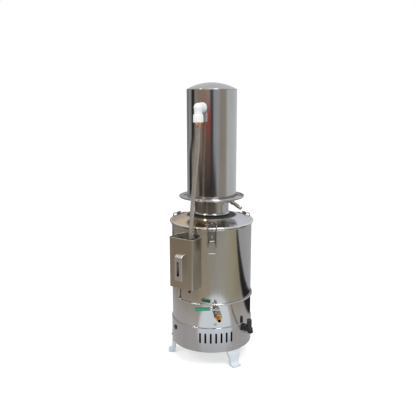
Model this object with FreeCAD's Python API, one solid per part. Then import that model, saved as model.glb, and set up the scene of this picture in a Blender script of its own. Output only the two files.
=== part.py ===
import FreeCAD, Part
import math
import os

# A stainless steel electric water distiller: a boiling pot on a ventilated base with three legs,
# a clamped lid that carries the condenser tower, a level box, an overflow pipe and a drain valve.
# Millimetres, +Z up, drain valve facing -Y. Places round the pot are angles from the front (-Y)
# towards +X. Each piece is drawn about the pot's axis and moved at the end, so that the origin
# lies on the floor under the middle of the whole object.

V = FreeCAD.Vector
UP = V(0, 0, 1)
ORIGIN = V(0, 0, 0)

# ---------------------------------------------------------------- driving dimensions

SHEET = 1.0  # vessel sheet
PLATE = 1.2  # base plate and support ring
HOLE_GAP = 0.1  # play of a fastener or tube in its hole, on the radius
RUN_GAP = 0.05  # play of a turning pin, stem or ball, on the radius
FREE_GAP = 0.3  # air between pieces that move past each other

# base
LEG_HEIGHT = 50.0
SKIRT_STEP = 2.3  # how far the skirt stands out of the pot
SKIRT_HEIGHT = 73.2
SLOT_COUNT = 7
SLOT_PITCH = 7.4  # degrees
SLOT_WIDTH = 5.5
SLOT_LENGTH = 30.5
SLOT_RISE = 27.2  # from the skirt's lower edge
BASE_PLATE_RISE = 3.0
BASE_FLANGE = 14.0
VENT_COUNT = 10
VENT_R = 5.0
VENT_RING_IN = 30.0  # of the vents' ring from the pot's wall
SUPPORT_WIDTH = 19.0
SUPPORT_DEPTH = 4.0

# legs
LEG_ANGLES = (28.0, 148.0, -96.0)
LEG_NAMES = ("front", "rear", "left")
LEG_THICK = 4.0
LEG_TOP_WIDTH = 48.0
LEG_FOOT_WIDTH = 27.0
LEG_TAB_WIDTH = 38.0
LEG_TAB_HEIGHT = 22.0
LEG_KNEE = 3.4  # how far the knee stands out of the tab
LEG_TOE = 15.0  # how far the toe stands out of the tab
LEG_TOE_THICK = 6.0
LEG_DEPTH = 10.0  # of the side ribs behind the knee
LEG_RIB = 3.2
LEG_SCREW_R = 2.0
LEG_SCREW_HEAD_R = 3.8
LEG_SCREW_HEAD = 2.4
LEG_SCREW_END = 1.5  # of the thread past its nut
LEG_SCREW_SPACING = 24.0
LEG_SCREW_RISE = 10.0  # above the skirt's lower edge
LEG_NUT_FLATS = 7.0
LEG_NUT_HEIGHT = 3.2

# pot
POT_R = 116.0
POT_FLOOR_RISE = 62.0  # underside of the floor above the skirt's lower edge
POT_CORNER_R = 10.0
POT_HEIGHT = 293.0
RIM_STEP = 2.4
RIM_THICK = 3.0
GASKET_THICK = 1.5
GASKET_WIDTH = 4.5

# lid
LID_STEP = 5.5
LID_EDGE = 6.0
LID_CROWN = 14.5  # from the lid's edge to its neck
LID_BULGE = 3.0  # of the lid's slope out of a plain cone
NECK_R = 49.0
NECK_BEAD = 2.6
NECK_BEAD_HEIGHT = 8.0

# condenser tower
TRAY_RISE = 49.5  # tray floor above the lid's crown
TRAY_LEDGE = 23.4  # how far the tray stands out of the shell
TRAY_LIP = 5.0
TRAY_LIP_THICK = 3.0
SHELL_R = 70.0
SHELL_HEIGHT = 300.4
CAP_CROWN = 19.1
DOME_GAP = 9.0  # between the shell and the inner wall that the steam condenses on
DOME_HEIGHT = 262.0
DOME_CROWN = 12.0
RISER_ABOVE_TRAY = 24.0

# hose nozzles
NOZZLE_R = 5.25
NOZZLE_BORE_R = 4.25
DISTILLATE_ANGLE = 53.0
DISTILLATE_CUP_R = 9.0
NOZZLE_ROOT_R = 6.5  # sleeve that a hose comes up against
NOZZLE_ROOT = 3.0
DISTILLATE_CUP_GAP = 0.5  # between the neck and the cup
DISTILLATE_CUP_DEPTH = 11.0
DISTILLATE_DRAIN_R = 4.0  # hole in the gutter between the riser and the dome
DISTILLATE_REACH = 42.0
DISTILLATE_FALL = 27.0  # degrees
INLET_ANGLE = 176.0
INLET_RISE = 22.0  # above the tray floor
INLET_LENGTH = 30.0

# outlet elbow and clear hose
ELBOW_ANGLE = -27.0
ELBOW_DROP = 48.2  # below the shell's shoulder
ELBOW_REACH = 31.0  # of the hose's first run from the shell
ELBOW_R = 12.0
ELBOW_LEG_R = 10.8
ELBOW_COLLAR_R = 13.2
ELBOW_COLLAR = 6.0
ELBOW_LEG = 19.0
OUTLET_STUB_R = 8.0
OUTLET_STUB_BORE_R = 6.5
OUTLET_STUB = 16.0
UNION_R = 13.5
UNION_HEIGHT = 21.5
UNION_RIBS = 12
HOSE_IN_UNION = 13.0
HOSE_R = 5.75
HOSE_BORE_R = 4.0
SPIGOT_BORE_R = 2.8
SPIGOT_BELOW_UNION = 9.5
CLAMP_HEIGHT = 7.0
CLAMP_THICK = 1.4
CLAMP_DROP = 1.0
HOSE_IN_BOX = 7.0
HOSE_LAST_RUN = 31.0
# the hose between its two ends, as (degrees, distance from the pot's axis, height)
HOSE_ROUTE = (
    (-27.0, 101.0, 662.0),
    (-28.6, 101.8, 612.0),
    (-31.3, 103.2, 562.0),
    (-33.2, 107.0, 514.0),
    (-33.2, 114.5, 468.0),
    (-32.0, 125.0, 431.0),
)

# level box
BOX_ANGLE = -40.6
BOX_WIDTH = 79.0
BOX_DEPTH = 34.0  # of its face from the pot's wall
BOX_BELOW_RIM = 21.0  # from the pot's rim to its top edge
BOX_RISE = 130.5  # of its underside from the pot's floor
BOX_EDGE_R = 5.0
BOX_TOP_DROP = 2.5
HOSE_HOLE_IN = 17.0  # from the box's face
HOSE_HOLE_Y = 22.7
GROMMET_WALL = 1.6
GROMMET_LIP = 3.0
GROMMET_LIP_THICK = 1.6
VENT_HOLE_IN = 19.0  # from the box's face
VENT_HOLE_Y = -12.0
VENT_HOLE_R = 5.0
FEED_R = 6.0
FEED_BORE_R = 5.0
FEED_RISE = 27.5  # above the box's underside
FEED_LENGTH = 12.0

# sight glass on the box
GUARD_Y = 1.5
GUARD_WIDTH = 25.0
GUARD_DEPTH = 14.0
GUARD_HEIGHT = 72.5
GUARD_RISE = 26.0  # above the box's underside
GUARD_TOP_R = 12.0
GUARD_SLOT_WIDTH = 8.0
GUARD_SLOT_LENGTH = 42.0
GUARD_SLOT_RISE = 12.5
GLASS_R = 4.5
GLASS_BORE_R = 3.4
GLASS_LENGTH = 40.0
GLASS_RISE = 37.0
GLASS_STAND = 6.5  # its axis off the box's face
FITTING_R = 3.0
FITTING_BLOCK = 9.0
FITTING_HEIGHT = 9.0
GUARD_EDGE_R = 2.5

# overflow pipe
PIPE_R = 2.5
PIPE_BORE_R = 1.8
PIPE_RISE = 80.0  # above the pot's floor
PIPE_GAP = 0.1
PIPE_BEND_R = 12.0
PIPE_IN_BOX = 2.8  # of its standing end, off the box's left side
PIPE_LAST_ANGLE = 132.0
PIPE_STAND = 87.5  # of its open top above the box's underside, which sets the water level
PIPE_TAIL = 22.0

# drain valve
VALVE_ANGLE = 0.0
VALVE_RISE = 63.0  # above the pot's floor
VALVE_REACH = 26.0  # of the ball's centre from the pot's wall
NIPPLE_R = 6.7
VALVE_BORE_R = 3.5
WELD_R = 10.0
WELD_DEPTH = 2.5
BODY_HALF = 22.0
BODY_R = 10.5
BODY_WAIST_R = 8.8
BODY_HEX_FLATS = 19.0
BODY_HEX_LENGTH = 8.0
BALL_R = 7.0
SEAT_R = 6.4
SEAT_IN = 4.2
SEAT_OUT = 7.2
STEM_R = 2.5
STEM_BOSS_R = 5.5
STEM_BOSS_TOP = 11.5
LEVER_THICK = 2.0
LEVER_DISC_R = 8.0
LEVER_BLADE = 9.0
LEVER_LENGTH = 58.0
LEVER_CRANK = 4.0
LEVER_CRANK_START = 13.0
LEVER_CRANK_END = 19.0
SLEEVE_START = 20.0
SLEEVE_LENGTH = 41.0
SLEEVE_WIDTH = 16.0
SLEEVE_THICK = 6.5
LEVER_NUT_FLATS = 11.0
LEVER_NUT_HEIGHT = 4.5
TAIL_FLATS = 17.0
TAIL_HEX = 6.0
TAIL_R = 5.75
TAIL_BORE_R = 4.2
TAIL_LENGTH = 17.0
TAIL_THREAD_R = 6.6
TAIL_THREAD = 8.0

# toggle latches
LATCH_ANGLES = (-6.0, 114.0, -126.0)
LATCH_NAMES = ("front", "right", "left")
HINGE_STAND = 5.5  # off the pot's wall
HINGE_DROP = 30.5  # below the pot's rim
HINGE_PIN_R = 1.5
HINGE_BARREL_R = 2.8
BARREL_HALF = 5.5
EAR_IN = 5.8
EAR_OUT = 7.6
CATCH_BASE_WIDTH = 20.0
CATCH_BASE_THICK = 1.5
CATCH_BASE_TOP = 26.0  # above the hinge
CATCH_BASE_BOTTOM = 5.0  # below the hinge
LEVER_PLATE = 1.5
LATCH_LEVER_WIDTH = 19.2
LATCH_LEVER_LENGTH = 33.0
LATCH_SHOULDER = 3.6  # from the hinge to where the lever widens
LATCH_FLANGE_DEPTH = 4.0
LATCH_FLANGE_TOP = 6.5
LATCH_FLANGE_BOTTOM = 28.0
LATCH_CURL_R = 1.6
BAIL_DROP = 16.5  # bail pivot below the hinge
BAIL_STAND = 5.0  # off the pot's wall
BAIL_R = 1.5
BAIL_HALF = 12.0
BAIL_SHOULDER_STAND = 12.5
BAIL_SHOULDER_DROP = 7.0
BAIL_TOP_STAND = 7.0
BAIL_CROSS_IN = 4.0  # inside the pot's wall
BAIL_CROSS_RISE = 13.6  # above the pot's rim
BAIL_DIP = 0.6  # how far the cross wire sinks as the lever starts to open
BAIL_BEND_R = 3.2
HOOK_WIDTH = 18.0
HOOK_THICK = 1.5
HOOK_INNER_IN = 24.0  # inside the pot's wall
HOOK_RIVET_IN = 18.5
HOOK_OUTER_IN = 6.0
HOOK_LIP = 4.8
RIVET_R = 1.6
RIVET_HEAD_R = 3.2
RIVET_HEAD = 1.5
RIVET_SHANK = 4.0

# power cord outlet and pilot lamp
OUTLET_ANGLE = 49.0
OUTLET_DROP = 7.0  # below the pot's floor
OUTLET_FLANGE_R = 10.0
OUTLET_FLANGE = 6.0
OUTLET_FLANGE_NOTCHES = 10
OUTLET_NECK_R = 7.5
OUTLET_REACH = 16.0  # from the pot's wall
OUTLET_BODY_R = 7.0
OUTLET_BODY_ABOVE = 29.0
OUTLET_BODY_BELOW = 8.0
OUTLET_NUT_R = 8.5
OUTLET_NUT_LENGTH = 5.0
OUTLET_NUT_OFFSET = 3.5
CORD_BORE_R = 4.5
OUTLET_THREAD_R = 6.5
OUTLET_LOCKNUT_FLATS = 16.0
OUTLET_LOCKNUT = 4.0
LAMP_ANGLE = -68.5
LAMP_DROP = 12.0  # below the pot's floor
LAMP_BEZEL_R = 7.2
LAMP_BEZEL = 3.0
LAMP_LENS_R = 5.4
LAMP_LENS_CROWN = 3.2
LAMP_BODY_R = 5.0
LAMP_BODY = 22.0

# plain screws on the pot wall
WALL_SCREW_ANGLES = (-38.3, -1.0)
WALL_SCREW_UPPER = 111.5  # above the pot's floor
WALL_SCREW_LOWER = 22.0
WALL_SCREW_HEAD_R = 3.9
WALL_SCREW_HEAD = 2.2

# heaters and terminals
HEATER_R = 4.0
HEATER_BEND_R = 13.0
HEATER_RISE = 36.0  # above the pot's floor
HEATER_WALL_GAP = 58.0  # from the pot's wall to the bends
HEATER_NEAR = 22.0
HEATER_FAR = 54.0
HEATER_PIN = 22.0  # below the pot floor
GLAND_R = 7.0
GLAND_FLANGE_R = 10.0
GLAND_FLANGE = 3.0
GLAND_NUT_FLATS = 19.0
GLAND_NUT = 6.0
TERMINAL_SIZE = (90.0, 24.0, 18.0)
TERMINAL_Y = 20.0

# ---------------------------------------------------------------- places worked out from them
SKIRT_Z = LEG_HEIGHT
SEAM_Z = SKIRT_Z + SKIRT_HEIGHT
SKIRT_R = POT_R + SKIRT_STEP
SKIRT_IN_R = SKIRT_R - SHEET
FLANGE_IN_R = SKIRT_IN_R - PLATE
POT_IN_R = POT_R - SHEET
POT_FLOOR_Z = SKIRT_Z + POT_FLOOR_RISE
RIM_Z = POT_FLOOR_Z + POT_HEIGHT
RIM_R = POT_R + RIM_STEP
LID_R = POT_R + LID_STEP
LID_Z = RIM_Z + GASKET_THICK
LID_TOP_Z = LID_Z + LID_EDGE
CROWN_Z = LID_TOP_Z + LID_CROWN
TRAY_Z = CROWN_Z + TRAY_RISE
SHELL_Z = TRAY_Z + SHEET
SHOULDER_Z = SHELL_Z + SHELL_HEIGHT
SHELL_IN_R = SHELL_R - SHEET
TRAY_R = SHELL_R + TRAY_LEDGE
DOME_R = SHELL_R - DOME_GAP
DISTILLATE_CUP_X = NECK_R + DISTILLATE_CUP_GAP + DISTILLATE_CUP_R
ELBOW_X = SHELL_R + ELBOW_REACH
ELBOW_Z = SHOULDER_Z - ELBOW_DROP
UNION_TOP_Z = ELBOW_Z - ELBOW_LEG + 2.0
UNION_Z = UNION_TOP_Z - UNION_HEIGHT
HOSE_TOP_Z = UNION_Z + HOSE_IN_UNION
BOX_Z = POT_FLOOR_Z + BOX_RISE
BOX_TOP_Z = RIM_Z - BOX_BELOW_RIM
BOX_FACE = POT_R + BOX_DEPTH
HOSE_HOLE_X = BOX_FACE - HOSE_HOLE_IN
VENT_HOLE_X = BOX_FACE - VENT_HOLE_IN
BOX_PLATE_Z = BOX_TOP_Z - BOX_TOP_DROP - SHEET
PIPE_RING_R = POT_R + PIPE_GAP + PIPE_R
PIPE_Z = POT_FLOOR_Z + PIPE_RISE
PIPE_STANDING = BOX_Z + PIPE_STAND
PIPE_STAND_R = math.hypot(PIPE_RING_R, PIPE_BEND_R)
PIPE_STAND_Y = BOX_WIDTH / 2 - PIPE_IN_BOX - PIPE_R
PIPE_STAND_ANGLE = BOX_ANGLE - math.degrees(math.asin(PIPE_STAND_Y / PIPE_STAND_R))
PIPE_FIRST_ANGLE = PIPE_STAND_ANGLE + math.degrees(math.atan(PIPE_BEND_R / PIPE_RING_R))
VENT_RING_R = POT_R - VENT_RING_IN
VALVE_X = POT_R + VALVE_REACH
VALVE_Z = POT_FLOOR_Z + VALVE_RISE
HINGE_X = POT_R + HINGE_STAND
HINGE_Z = RIM_Z - HINGE_DROP
BAIL_X = POT_R + BAIL_STAND
BAIL_SHOULDER_X = POT_R + BAIL_SHOULDER_STAND
BAIL_SHOULDER_Z = RIM_Z - BAIL_SHOULDER_DROP
BAIL_TOP_X = POT_R + BAIL_TOP_STAND
BAIL_CROSS_X = POT_R - BAIL_CROSS_IN
BAIL_CROSS_Z = RIM_Z + BAIL_CROSS_RISE
HOOK_INNER_R = POT_R - HOOK_INNER_IN
HOOK_RIVET_R = POT_R - HOOK_RIVET_IN
HOOK_BASE_OUTER_R = POT_R - HOOK_OUTER_IN
OUTLET_BODY_X = POT_R + OUTLET_REACH
OUTLET_Z = POT_FLOOR_Z - OUTLET_DROP
OUTLET_BODY_TOP = OUTLET_Z + OUTLET_BODY_ABOVE
OUTLET_BODY_BOTTOM = OUTLET_Z - OUTLET_BODY_BELOW
LAMP_Z = POT_FLOOR_Z - LAMP_DROP
WALL_SCREW_HEIGHTS = (POT_FLOOR_Z + WALL_SCREW_UPPER, POT_FLOOR_Z + WALL_SCREW_LOWER)
WALL_SCREWS = tuple(zip(WALL_SCREW_ANGLES, WALL_SCREW_HEIGHTS))
HEATER_Z = POT_FLOOR_Z + HEATER_RISE
HEATER_HALF = POT_R - HEATER_WALL_GAP
HEATER_PAIRS = ((HEATER_NEAR, HEATER_FAR), (-HEATER_NEAR, -HEATER_FAR))


# ---------------------------------------------------------------- drawing helpers
def side(x, z):
    return V(x, 0, z)


def plan(x, y):
    return V(x, y, 0)


def front(y, z):
    return V(0, y, z)


def outline(points, plane):
    """A flat face. A pair is the end of a line; four numbers are an arc's middle and end."""
    edges = []
    here = points[0]
    for item in list(points[1:]) + [points[0][-2:]]:
        there = item[-2:]
        if len(item) == 4:
            edges.append(Part.Arc(plane(*here[-2:]), plane(*item[:2]), plane(*there)).toShape())
        elif math.dist(here[-2:], there) > 1e-6:
            edges.append(Part.LineSegment(plane(*here[-2:]), plane(*there)).toShape())
        here = there
    return Part.Face(Part.Wire(edges))


def turned(points):
    return outline(points, side).revolve(ORIGIN, UP, 360)


def band(outer_r, inner_r, low, high):
    ring = Part.makeCylinder(outer_r, high - low, V(0, 0, low))
    if inner_r <= 0:
        return ring
    return ring.cut(Part.makeCylinder(inner_r, high - low, V(0, 0, low)))


def outward(shape, x=0.0, z=0.0, y=0.0):
    """Lay a piece drawn along +Z down, so that it points away from the pot's axis."""
    laid = shape.copy()
    laid.rotate(ORIGIN, V(0, 1, 0), 90)
    laid.translate(V(x, y, z))
    return laid


def around(shape, angle):
    """Turn a piece drawn on +X to its place round the pot."""
    turned_piece = shape.copy()
    turned_piece.rotate(ORIGIN, UP, angle - 90)
    return turned_piece


def spot(angle, radius, height):
    heading = math.radians(angle - 90)
    return V(radius * math.cos(heading), radius * math.sin(heading), height)


def chord(radius, half):
    """Where a cylinder's wall stands at a distance half from its middle plane."""
    return math.sqrt(radius * radius - half * half)


def hexagon(flats, low, high, start_angle=0.0):
    corner = flats / math.sqrt(3)
    turns = [math.radians(start_angle + 60 * i) for i in range(6)]
    points = [(corner * math.cos(t), corner * math.sin(t)) for t in turns]
    bar = outline(points, plan).extrude(V(0, 0, high - low))
    bar.translate(V(0, 0, low))
    return bar


def corner_arc(centre, radius, turn_from, turn_to):
    """An arc item for outline: its middle and its end."""
    half = math.radians((turn_from + turn_to) / 2)
    end = math.radians(turn_to)
    return (
        centre[0] + radius * math.cos(half),
        centre[1] + radius * math.sin(half),
        centre[0] + radius * math.cos(end),
        centre[1] + radius * math.sin(end),
    )


def crown_middle(x0, z0, x1, z1, bulge):
    """The middle point of a line from one point to the other, pushed out by the bulge."""
    length = math.hypot(x1 - x0, z1 - z0)
    middle_x = (x0 + x1) / 2 + bulge * abs(z1 - z0) / length
    middle_z = (z0 + z1) / 2 + bulge * abs(x1 - x0) / length
    return (middle_x, middle_z)


def crown(radius, edge_z, top_z):
    """The middle of a spherical crown's arc between its edge and its top on the axis."""
    rise = top_z - edge_z
    ball_r = (radius * radius + rise * rise) / (2 * rise)
    half = math.asin(radius / ball_r) / 2
    return (ball_r * math.sin(half), top_z - ball_r + ball_r * math.cos(half))


def rounded_path(points, radii):
    """Edges of straight runs joined by tangent arcs, one radius for each inner point."""
    edges = []
    here = points[0]
    for i in range(1, len(points) - 1):
        before = (points[i - 1] - points[i]).normalize()
        after = (points[i + 1] - points[i]).normalize()
        half_turn = (math.pi - before.getAngle(after)) / 2
        cut = radii[i - 1] * math.tan(half_turn)
        start = points[i] + before * cut
        end = points[i] + after * cut
        inward = (before + after).normalize()
        to_centre = radii[i - 1] / math.cos(half_turn)
        middle = points[i] + inward * (to_centre - radii[i - 1])
        if (start - here).Length > 1e-6:
            edges.append(Part.LineSegment(here, start).toShape())
        edges.append(Part.Arc(start, middle, end).toShape())
        here = end
    edges.append(Part.LineSegment(here, points[-1]).toShape())
    return edges


def cord_radii(points):
    """The largest arc that each corner's two runs allow."""
    radii = []
    for i in range(1, len(points) - 1):
        before = points[i - 1] - points[i]
        after = points[i + 1] - points[i]
        half_turn = (math.pi - before.getAngle(after)) / 2
        radii.append(0.45 * min(before.Length, after.Length) / math.tan(half_turn))
    return radii


def swept(edges, radius):
    """A round bar along a run of tangent edges."""
    path = Part.Wire(edges)
    start = edges[0].valueAt(edges[0].FirstParameter)
    heading = edges[0].tangentAt(edges[0].FirstParameter)
    ring = Part.Wire([Part.makeCircle(radius, start, heading)])
    return path.makePipeShell([ring], True, True)


def tube(edges, radius, bore_r):
    return swept(edges, radius).cut(swept(edges, bore_r))


def domed_head(head_r, head_height, shank_r, shank):
    """A screw or rivet along +Z: the head above zero and the shank below."""
    return turned(
        [
            (0, -shank),
            (shank_r, -shank),
            (shank_r, 0),
            (head_r, 0),
            (head_r, head_height * 0.3),
            crown(head_r, head_height * 0.3, head_height) + (0, head_height),
        ]
    )


def drilled(shape, tools):
    for tool in tools:
        shape = shape.cut(tool)
    return shape


def wall_hole(radius, angle, height, x_from, x_to, y=0.0):
    """A drill through the pot's or the skirt's wall."""
    return around(outward(band(radius, 0, x_from, x_to), z=height, y=y), angle)


def cross_rod(radius, half, x, z):
    return Part.makeCylinder(radius, 2 * half, V(x, -half, z), V(0, 1, 0))


def strip(low_y, high_y, x0, x1, z0, z1):
    return Part.makeBox(x1 - x0, high_y - low_y, z1 - z0, V(x0, low_y, z0))


def fused(shapes):
    whole = shapes[0].fuse(shapes[1:]) if len(shapes) > 1 else shapes[0]
    return whole.removeSplitter()


NODES = {}


def keep(name, *shapes):
    """File a node under its name, as one solid or a group of separate solids."""
    solids = [solid for shape in shapes for solid in shape.Solids]
    NODES[name] = solids[0] if len(solids) == 1 else Part.makeCompound(solids)


# ---------------------------------------------------------------- legs and their screws
def leg():
    """A cast leg: a tab inside the skirt, a knee, an ankle and a toe, and a rib down each side."""
    out_x = FLANGE_IN_R
    in_x = out_x - LEG_THICK
    ankle_z = 0.36 * LEG_HEIGHT
    knee_z = 0.74 * LEG_HEIGHT
    toe_x = out_x + LEG_TOE
    knee_x = out_x + LEG_KNEE
    rib_x = knee_x - LEG_DEPTH
    tab_top = SKIRT_Z + LEG_TAB_HEIGHT
    wall = outline(
        [
            (in_x, tab_top),
            (in_x, SKIRT_Z),
            (knee_x - LEG_THICK - 0.2, (SKIRT_Z + knee_z) / 2, knee_x - LEG_THICK, knee_z),
            (knee_x - LEG_THICK, ankle_z),
            (knee_x - LEG_THICK + 2.2, ankle_z * 0.35, knee_x + 1.0, 0),
            (toe_x - 2.0, 0),
            (toe_x - 0.6, 0.6, toe_x, 2.0),
            (toe_x, LEG_TOE_THICK),
            (knee_x + 1.4, ankle_z * 0.62, knee_x, ankle_z * 1.15),
            (knee_x, knee_z),
            (knee_x - 0.8, (SKIRT_Z + knee_z) / 2, out_x, SKIRT_Z - 1.0),
            (out_x, tab_top),
        ],
        side,
    )
    rib = outline(
        [
            (out_x - 2.0, SKIRT_Z - 2.0),
            (rib_x, SKIRT_Z - 2.0 - LEG_THICK),
            (rib_x, LEG_THICK),
            (rib_x + LEG_THICK, 0),
            (knee_x + 3.0, 0),
            (knee_x - 2.0, ankle_z),
            (knee_x - 2.0, knee_z),
        ],
        side,
    )

    def cutter(inset):
        foot = LEG_FOOT_WIDTH / 2 - inset
        top = LEG_TOP_WIDTH / 2 - inset
        tab = LEG_TAB_WIDTH / 2 - inset
        face = outline(
            [
                (-foot, 0),
                (foot, 0),
                (foot, 0.22 * LEG_HEIGHT),
                (foot + 2.4, 0.5 * LEG_HEIGHT, top, SKIRT_Z - 1.5),
                (top, SKIRT_Z + BASE_PLATE_RISE + 3.0),
                (tab, SKIRT_Z + BASE_PLATE_RISE + 6.0),
                (tab, tab_top),
                (-tab, tab_top),
                (-tab, SKIRT_Z + BASE_PLATE_RISE + 6.0),
                (-top, SKIRT_Z + BASE_PLATE_RISE + 3.0),
                (-top, SKIRT_Z - 1.5),
                (-foot - 2.4, 0.5 * LEG_HEIGHT, -foot, 0.22 * LEG_HEIGHT),
            ],
            front,
        )
        face.translate(V(rib_x - 10, 0, 0))
        return face.extrude(V(toe_x - rib_x + 20, 0, 0))

    sweep = 1.3 * math.degrees(LEG_TOP_WIDTH / out_x)
    blanks = [profile.revolve(ORIGIN, UP, sweep) for profile in (wall, rib)]
    for blank in blanks:
        blank.rotate(ORIGIN, UP, -sweep / 2)
    ribs = blanks[1].common(cutter(0)).cut(cutter(LEG_RIB))
    return fused([blanks[0].common(cutter(0)), ribs])


def leg_screw_places():
    swing = math.degrees(math.asin(LEG_SCREW_SPACING / 2 / SKIRT_R))
    return [angle + side_of * swing for angle in LEG_ANGLES for side_of in (-1, 1)]


leg_screw_z = SKIRT_Z + LEG_SCREW_RISE
leg_inner_r = FLANGE_IN_R - LEG_THICK
nut_face_x = chord(leg_inner_r, LEG_NUT_FLATS / math.sqrt(3)) - 0.02
leg_drills = [
    wall_hole(LEG_SCREW_R + HOLE_GAP, angle, leg_screw_z, leg_inner_r - 5, SKIRT_R + 5)
    for angle in leg_screw_places()
]
for name, angle in zip(LEG_NAMES, LEG_ANGLES):
    keep("leg_" + name, drilled(around(leg(), angle), leg_drills))
leg_screw_shank = SKIRT_R - nut_face_x + LEG_NUT_HEIGHT + LEG_SCREW_END
leg_screw = domed_head(LEG_SCREW_HEAD_R, LEG_SCREW_HEAD, LEG_SCREW_R, leg_screw_shank)
leg_screw = outward(leg_screw, x=SKIRT_R, z=leg_screw_z)
keep("leg_screws", *[around(leg_screw, angle) for angle in leg_screw_places()])
leg_nut = outward(
    hexagon(LEG_NUT_FLATS, -LEG_NUT_HEIGHT, 0).cut(band(LEG_SCREW_R, 0, -LEG_NUT_HEIGHT, 0)),
    x=nut_face_x,
    z=leg_screw_z,
)
keep("leg_nuts", *[around(leg_nut, angle) for angle in leg_screw_places()])


# ---------------------------------------------------------------- skirt, base plate, support ring
def slot_tool():
    half = SLOT_WIDTH / 2
    low = SKIRT_Z + SLOT_RISE
    high = low + SLOT_LENGTH
    face = outline(
        [
            (-half, low + half),
            (0, low, half, low + half),
            (half, high - half),
            (0, high, -half, high - half),
        ],
        front,
    )
    face.translate(V(SKIRT_IN_R - 5, 0, 0))
    return face.extrude(V(12, 0, 0))


lip = SKIRT_R - POT_R
skirt = turned(
    [
        (SKIRT_R, SKIRT_Z),
        (SKIRT_R, SEAM_Z - lip),
        corner_arc((POT_R, SEAM_Z - lip), lip, 0, 90),
        (POT_R, SEAM_Z - SHEET),
        corner_arc((POT_R, SEAM_Z - lip), lip - SHEET, 90, 0),
        (SKIRT_IN_R, SKIRT_Z),
    ]
)
slots = [around(slot_tool(), (i - (SLOT_COUNT - 1) / 2) * SLOT_PITCH) for i in range(SLOT_COUNT)]
lamp_hole = wall_hole(LAMP_BODY_R + HOLE_GAP, LAMP_ANGLE, LAMP_Z, POT_R - 12, SKIRT_R + 5)
cord_hole = wall_hole(OUTLET_THREAD_R + HOLE_GAP, OUTLET_ANGLE, OUTLET_Z, POT_R - 12, SKIRT_R + 5)
keep("base_skirt", drilled(skirt, slots + leg_drills + [lamp_hole, cord_hole]))

base_plate_z = SKIRT_Z + BASE_PLATE_RISE
base_plate = turned(
    [
        (0, base_plate_z),
        (SKIRT_IN_R, base_plate_z),
        (SKIRT_IN_R, base_plate_z + BASE_FLANGE),
        (FLANGE_IN_R, base_plate_z + BASE_FLANGE),
        (FLANGE_IN_R, base_plate_z + PLATE),
        (0, base_plate_z + PLATE),
    ]
)
notch_x = leg_inner_r - 8
notch = Part.makeBox(
    FLANGE_IN_R - notch_x,
    LEG_TOP_WIDTH + 1,
    PLATE + 0.02,
    V(notch_x, -LEG_TOP_WIDTH / 2 - 0.5, base_plate_z - 0.01),
).common(band(FLANGE_IN_R, 0, SKIRT_Z, SEAM_Z))
vents = [
    band(VENT_R, 0, base_plate_z - 1, base_plate_z + PLATE + 1).translated(
        spot(360.0 * i / VENT_COUNT, VENT_RING_R, 0)
    )
    for i in range(VENT_COUNT)
]
keep("base_plate", drilled(base_plate, [around(notch, a) for a in LEG_ANGLES] + vents + leg_drills))

lock_face = chord(SKIRT_IN_R, OUTLET_LOCKNUT_FLATS / math.sqrt(3)) - 0.05
notch_half = OUTLET_LOCKNUT_FLATS / math.sqrt(3) + 1
notch_x = lock_face - OUTLET_LOCKNUT - 2
notch_low = POT_FLOOR_Z - SUPPORT_DEPTH - 1
locknut_notch = strip(-notch_half, notch_half, notch_x, SKIRT_R, notch_low, POT_FLOOR_Z + 1)
keep(
    "pot_support_ring",
    turned(
        [
            (SKIRT_IN_R, POT_FLOOR_Z - SUPPORT_DEPTH),
            (SKIRT_IN_R, POT_FLOOR_Z),
            (SKIRT_IN_R - SUPPORT_WIDTH, POT_FLOOR_Z),
            (SKIRT_IN_R - SUPPORT_WIDTH, POT_FLOOR_Z - PLATE),
            (FLANGE_IN_R, POT_FLOOR_Z - PLATE),
            (FLANGE_IN_R, POT_FLOOR_Z - SUPPORT_DEPTH),
        ]
    ).cut(around(locknut_notch, OUTLET_ANGLE)).cut(lamp_hole),
)

# ---------------------------------------------------------------- pot
pot = turned(
    [
        (0, POT_FLOOR_Z),
        (POT_R - POT_CORNER_R, POT_FLOOR_Z),
        corner_arc((POT_R - POT_CORNER_R, POT_FLOOR_Z + POT_CORNER_R), POT_CORNER_R, -90, 0),
        (POT_R, RIM_Z - RIM_THICK),
        (RIM_R - RIM_THICK / 2, RIM_Z - RIM_THICK),
        corner_arc((RIM_R - RIM_THICK / 2, RIM_Z - RIM_THICK / 2), RIM_THICK / 2, -90, 90),
        (POT_IN_R, RIM_Z),
        (POT_IN_R, POT_FLOOR_Z + POT_CORNER_R),
        corner_arc((POT_R - POT_CORNER_R, POT_FLOOR_Z + POT_CORNER_R), POT_CORNER_R - SHEET, 0, -90),
        (0, POT_FLOOR_Z + SHEET),
    ]
)
feed_z = BOX_Z + FEED_RISE
heater_places = [(x, HEATER_HALF) for pair in HEATER_PAIRS for x in pair]
pot_drills = [
    wall_hole(NIPPLE_R + HOLE_GAP, VALVE_ANGLE, VALVE_Z, POT_R - 10, POT_R + 5),
    wall_hole(FEED_R + HOLE_GAP, BOX_ANGLE, feed_z, POT_R - 10, POT_R + 5),
]
pot_drills += [
    wall_hole(LEG_SCREW_R + HOLE_GAP, angle, height, POT_R - 10, POT_R + 5) for angle, height in WALL_SCREWS
]
catch_rivet_z = HINGE_Z + CATCH_BASE_TOP / 2
catch_rivet_drills = [
    wall_hole(RIVET_R, angle, catch_rivet_z, POT_R - 10, POT_R + 5) for angle in LATCH_ANGLES
]
pot_drills += catch_rivet_drills
pot_drills += [
    band(GLAND_R + HOLE_GAP, 0, POT_FLOOR_Z - 1, POT_FLOOR_Z + SHEET + 1).translated(V(x, y, 0))
    for x, y in heater_places
]
keep("pot", drilled(pot, pot_drills))
keep("lid_gasket", band(POT_R + 0.6, POT_R + 0.6 - GASKET_WIDTH, RIM_Z, LID_Z))
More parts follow.
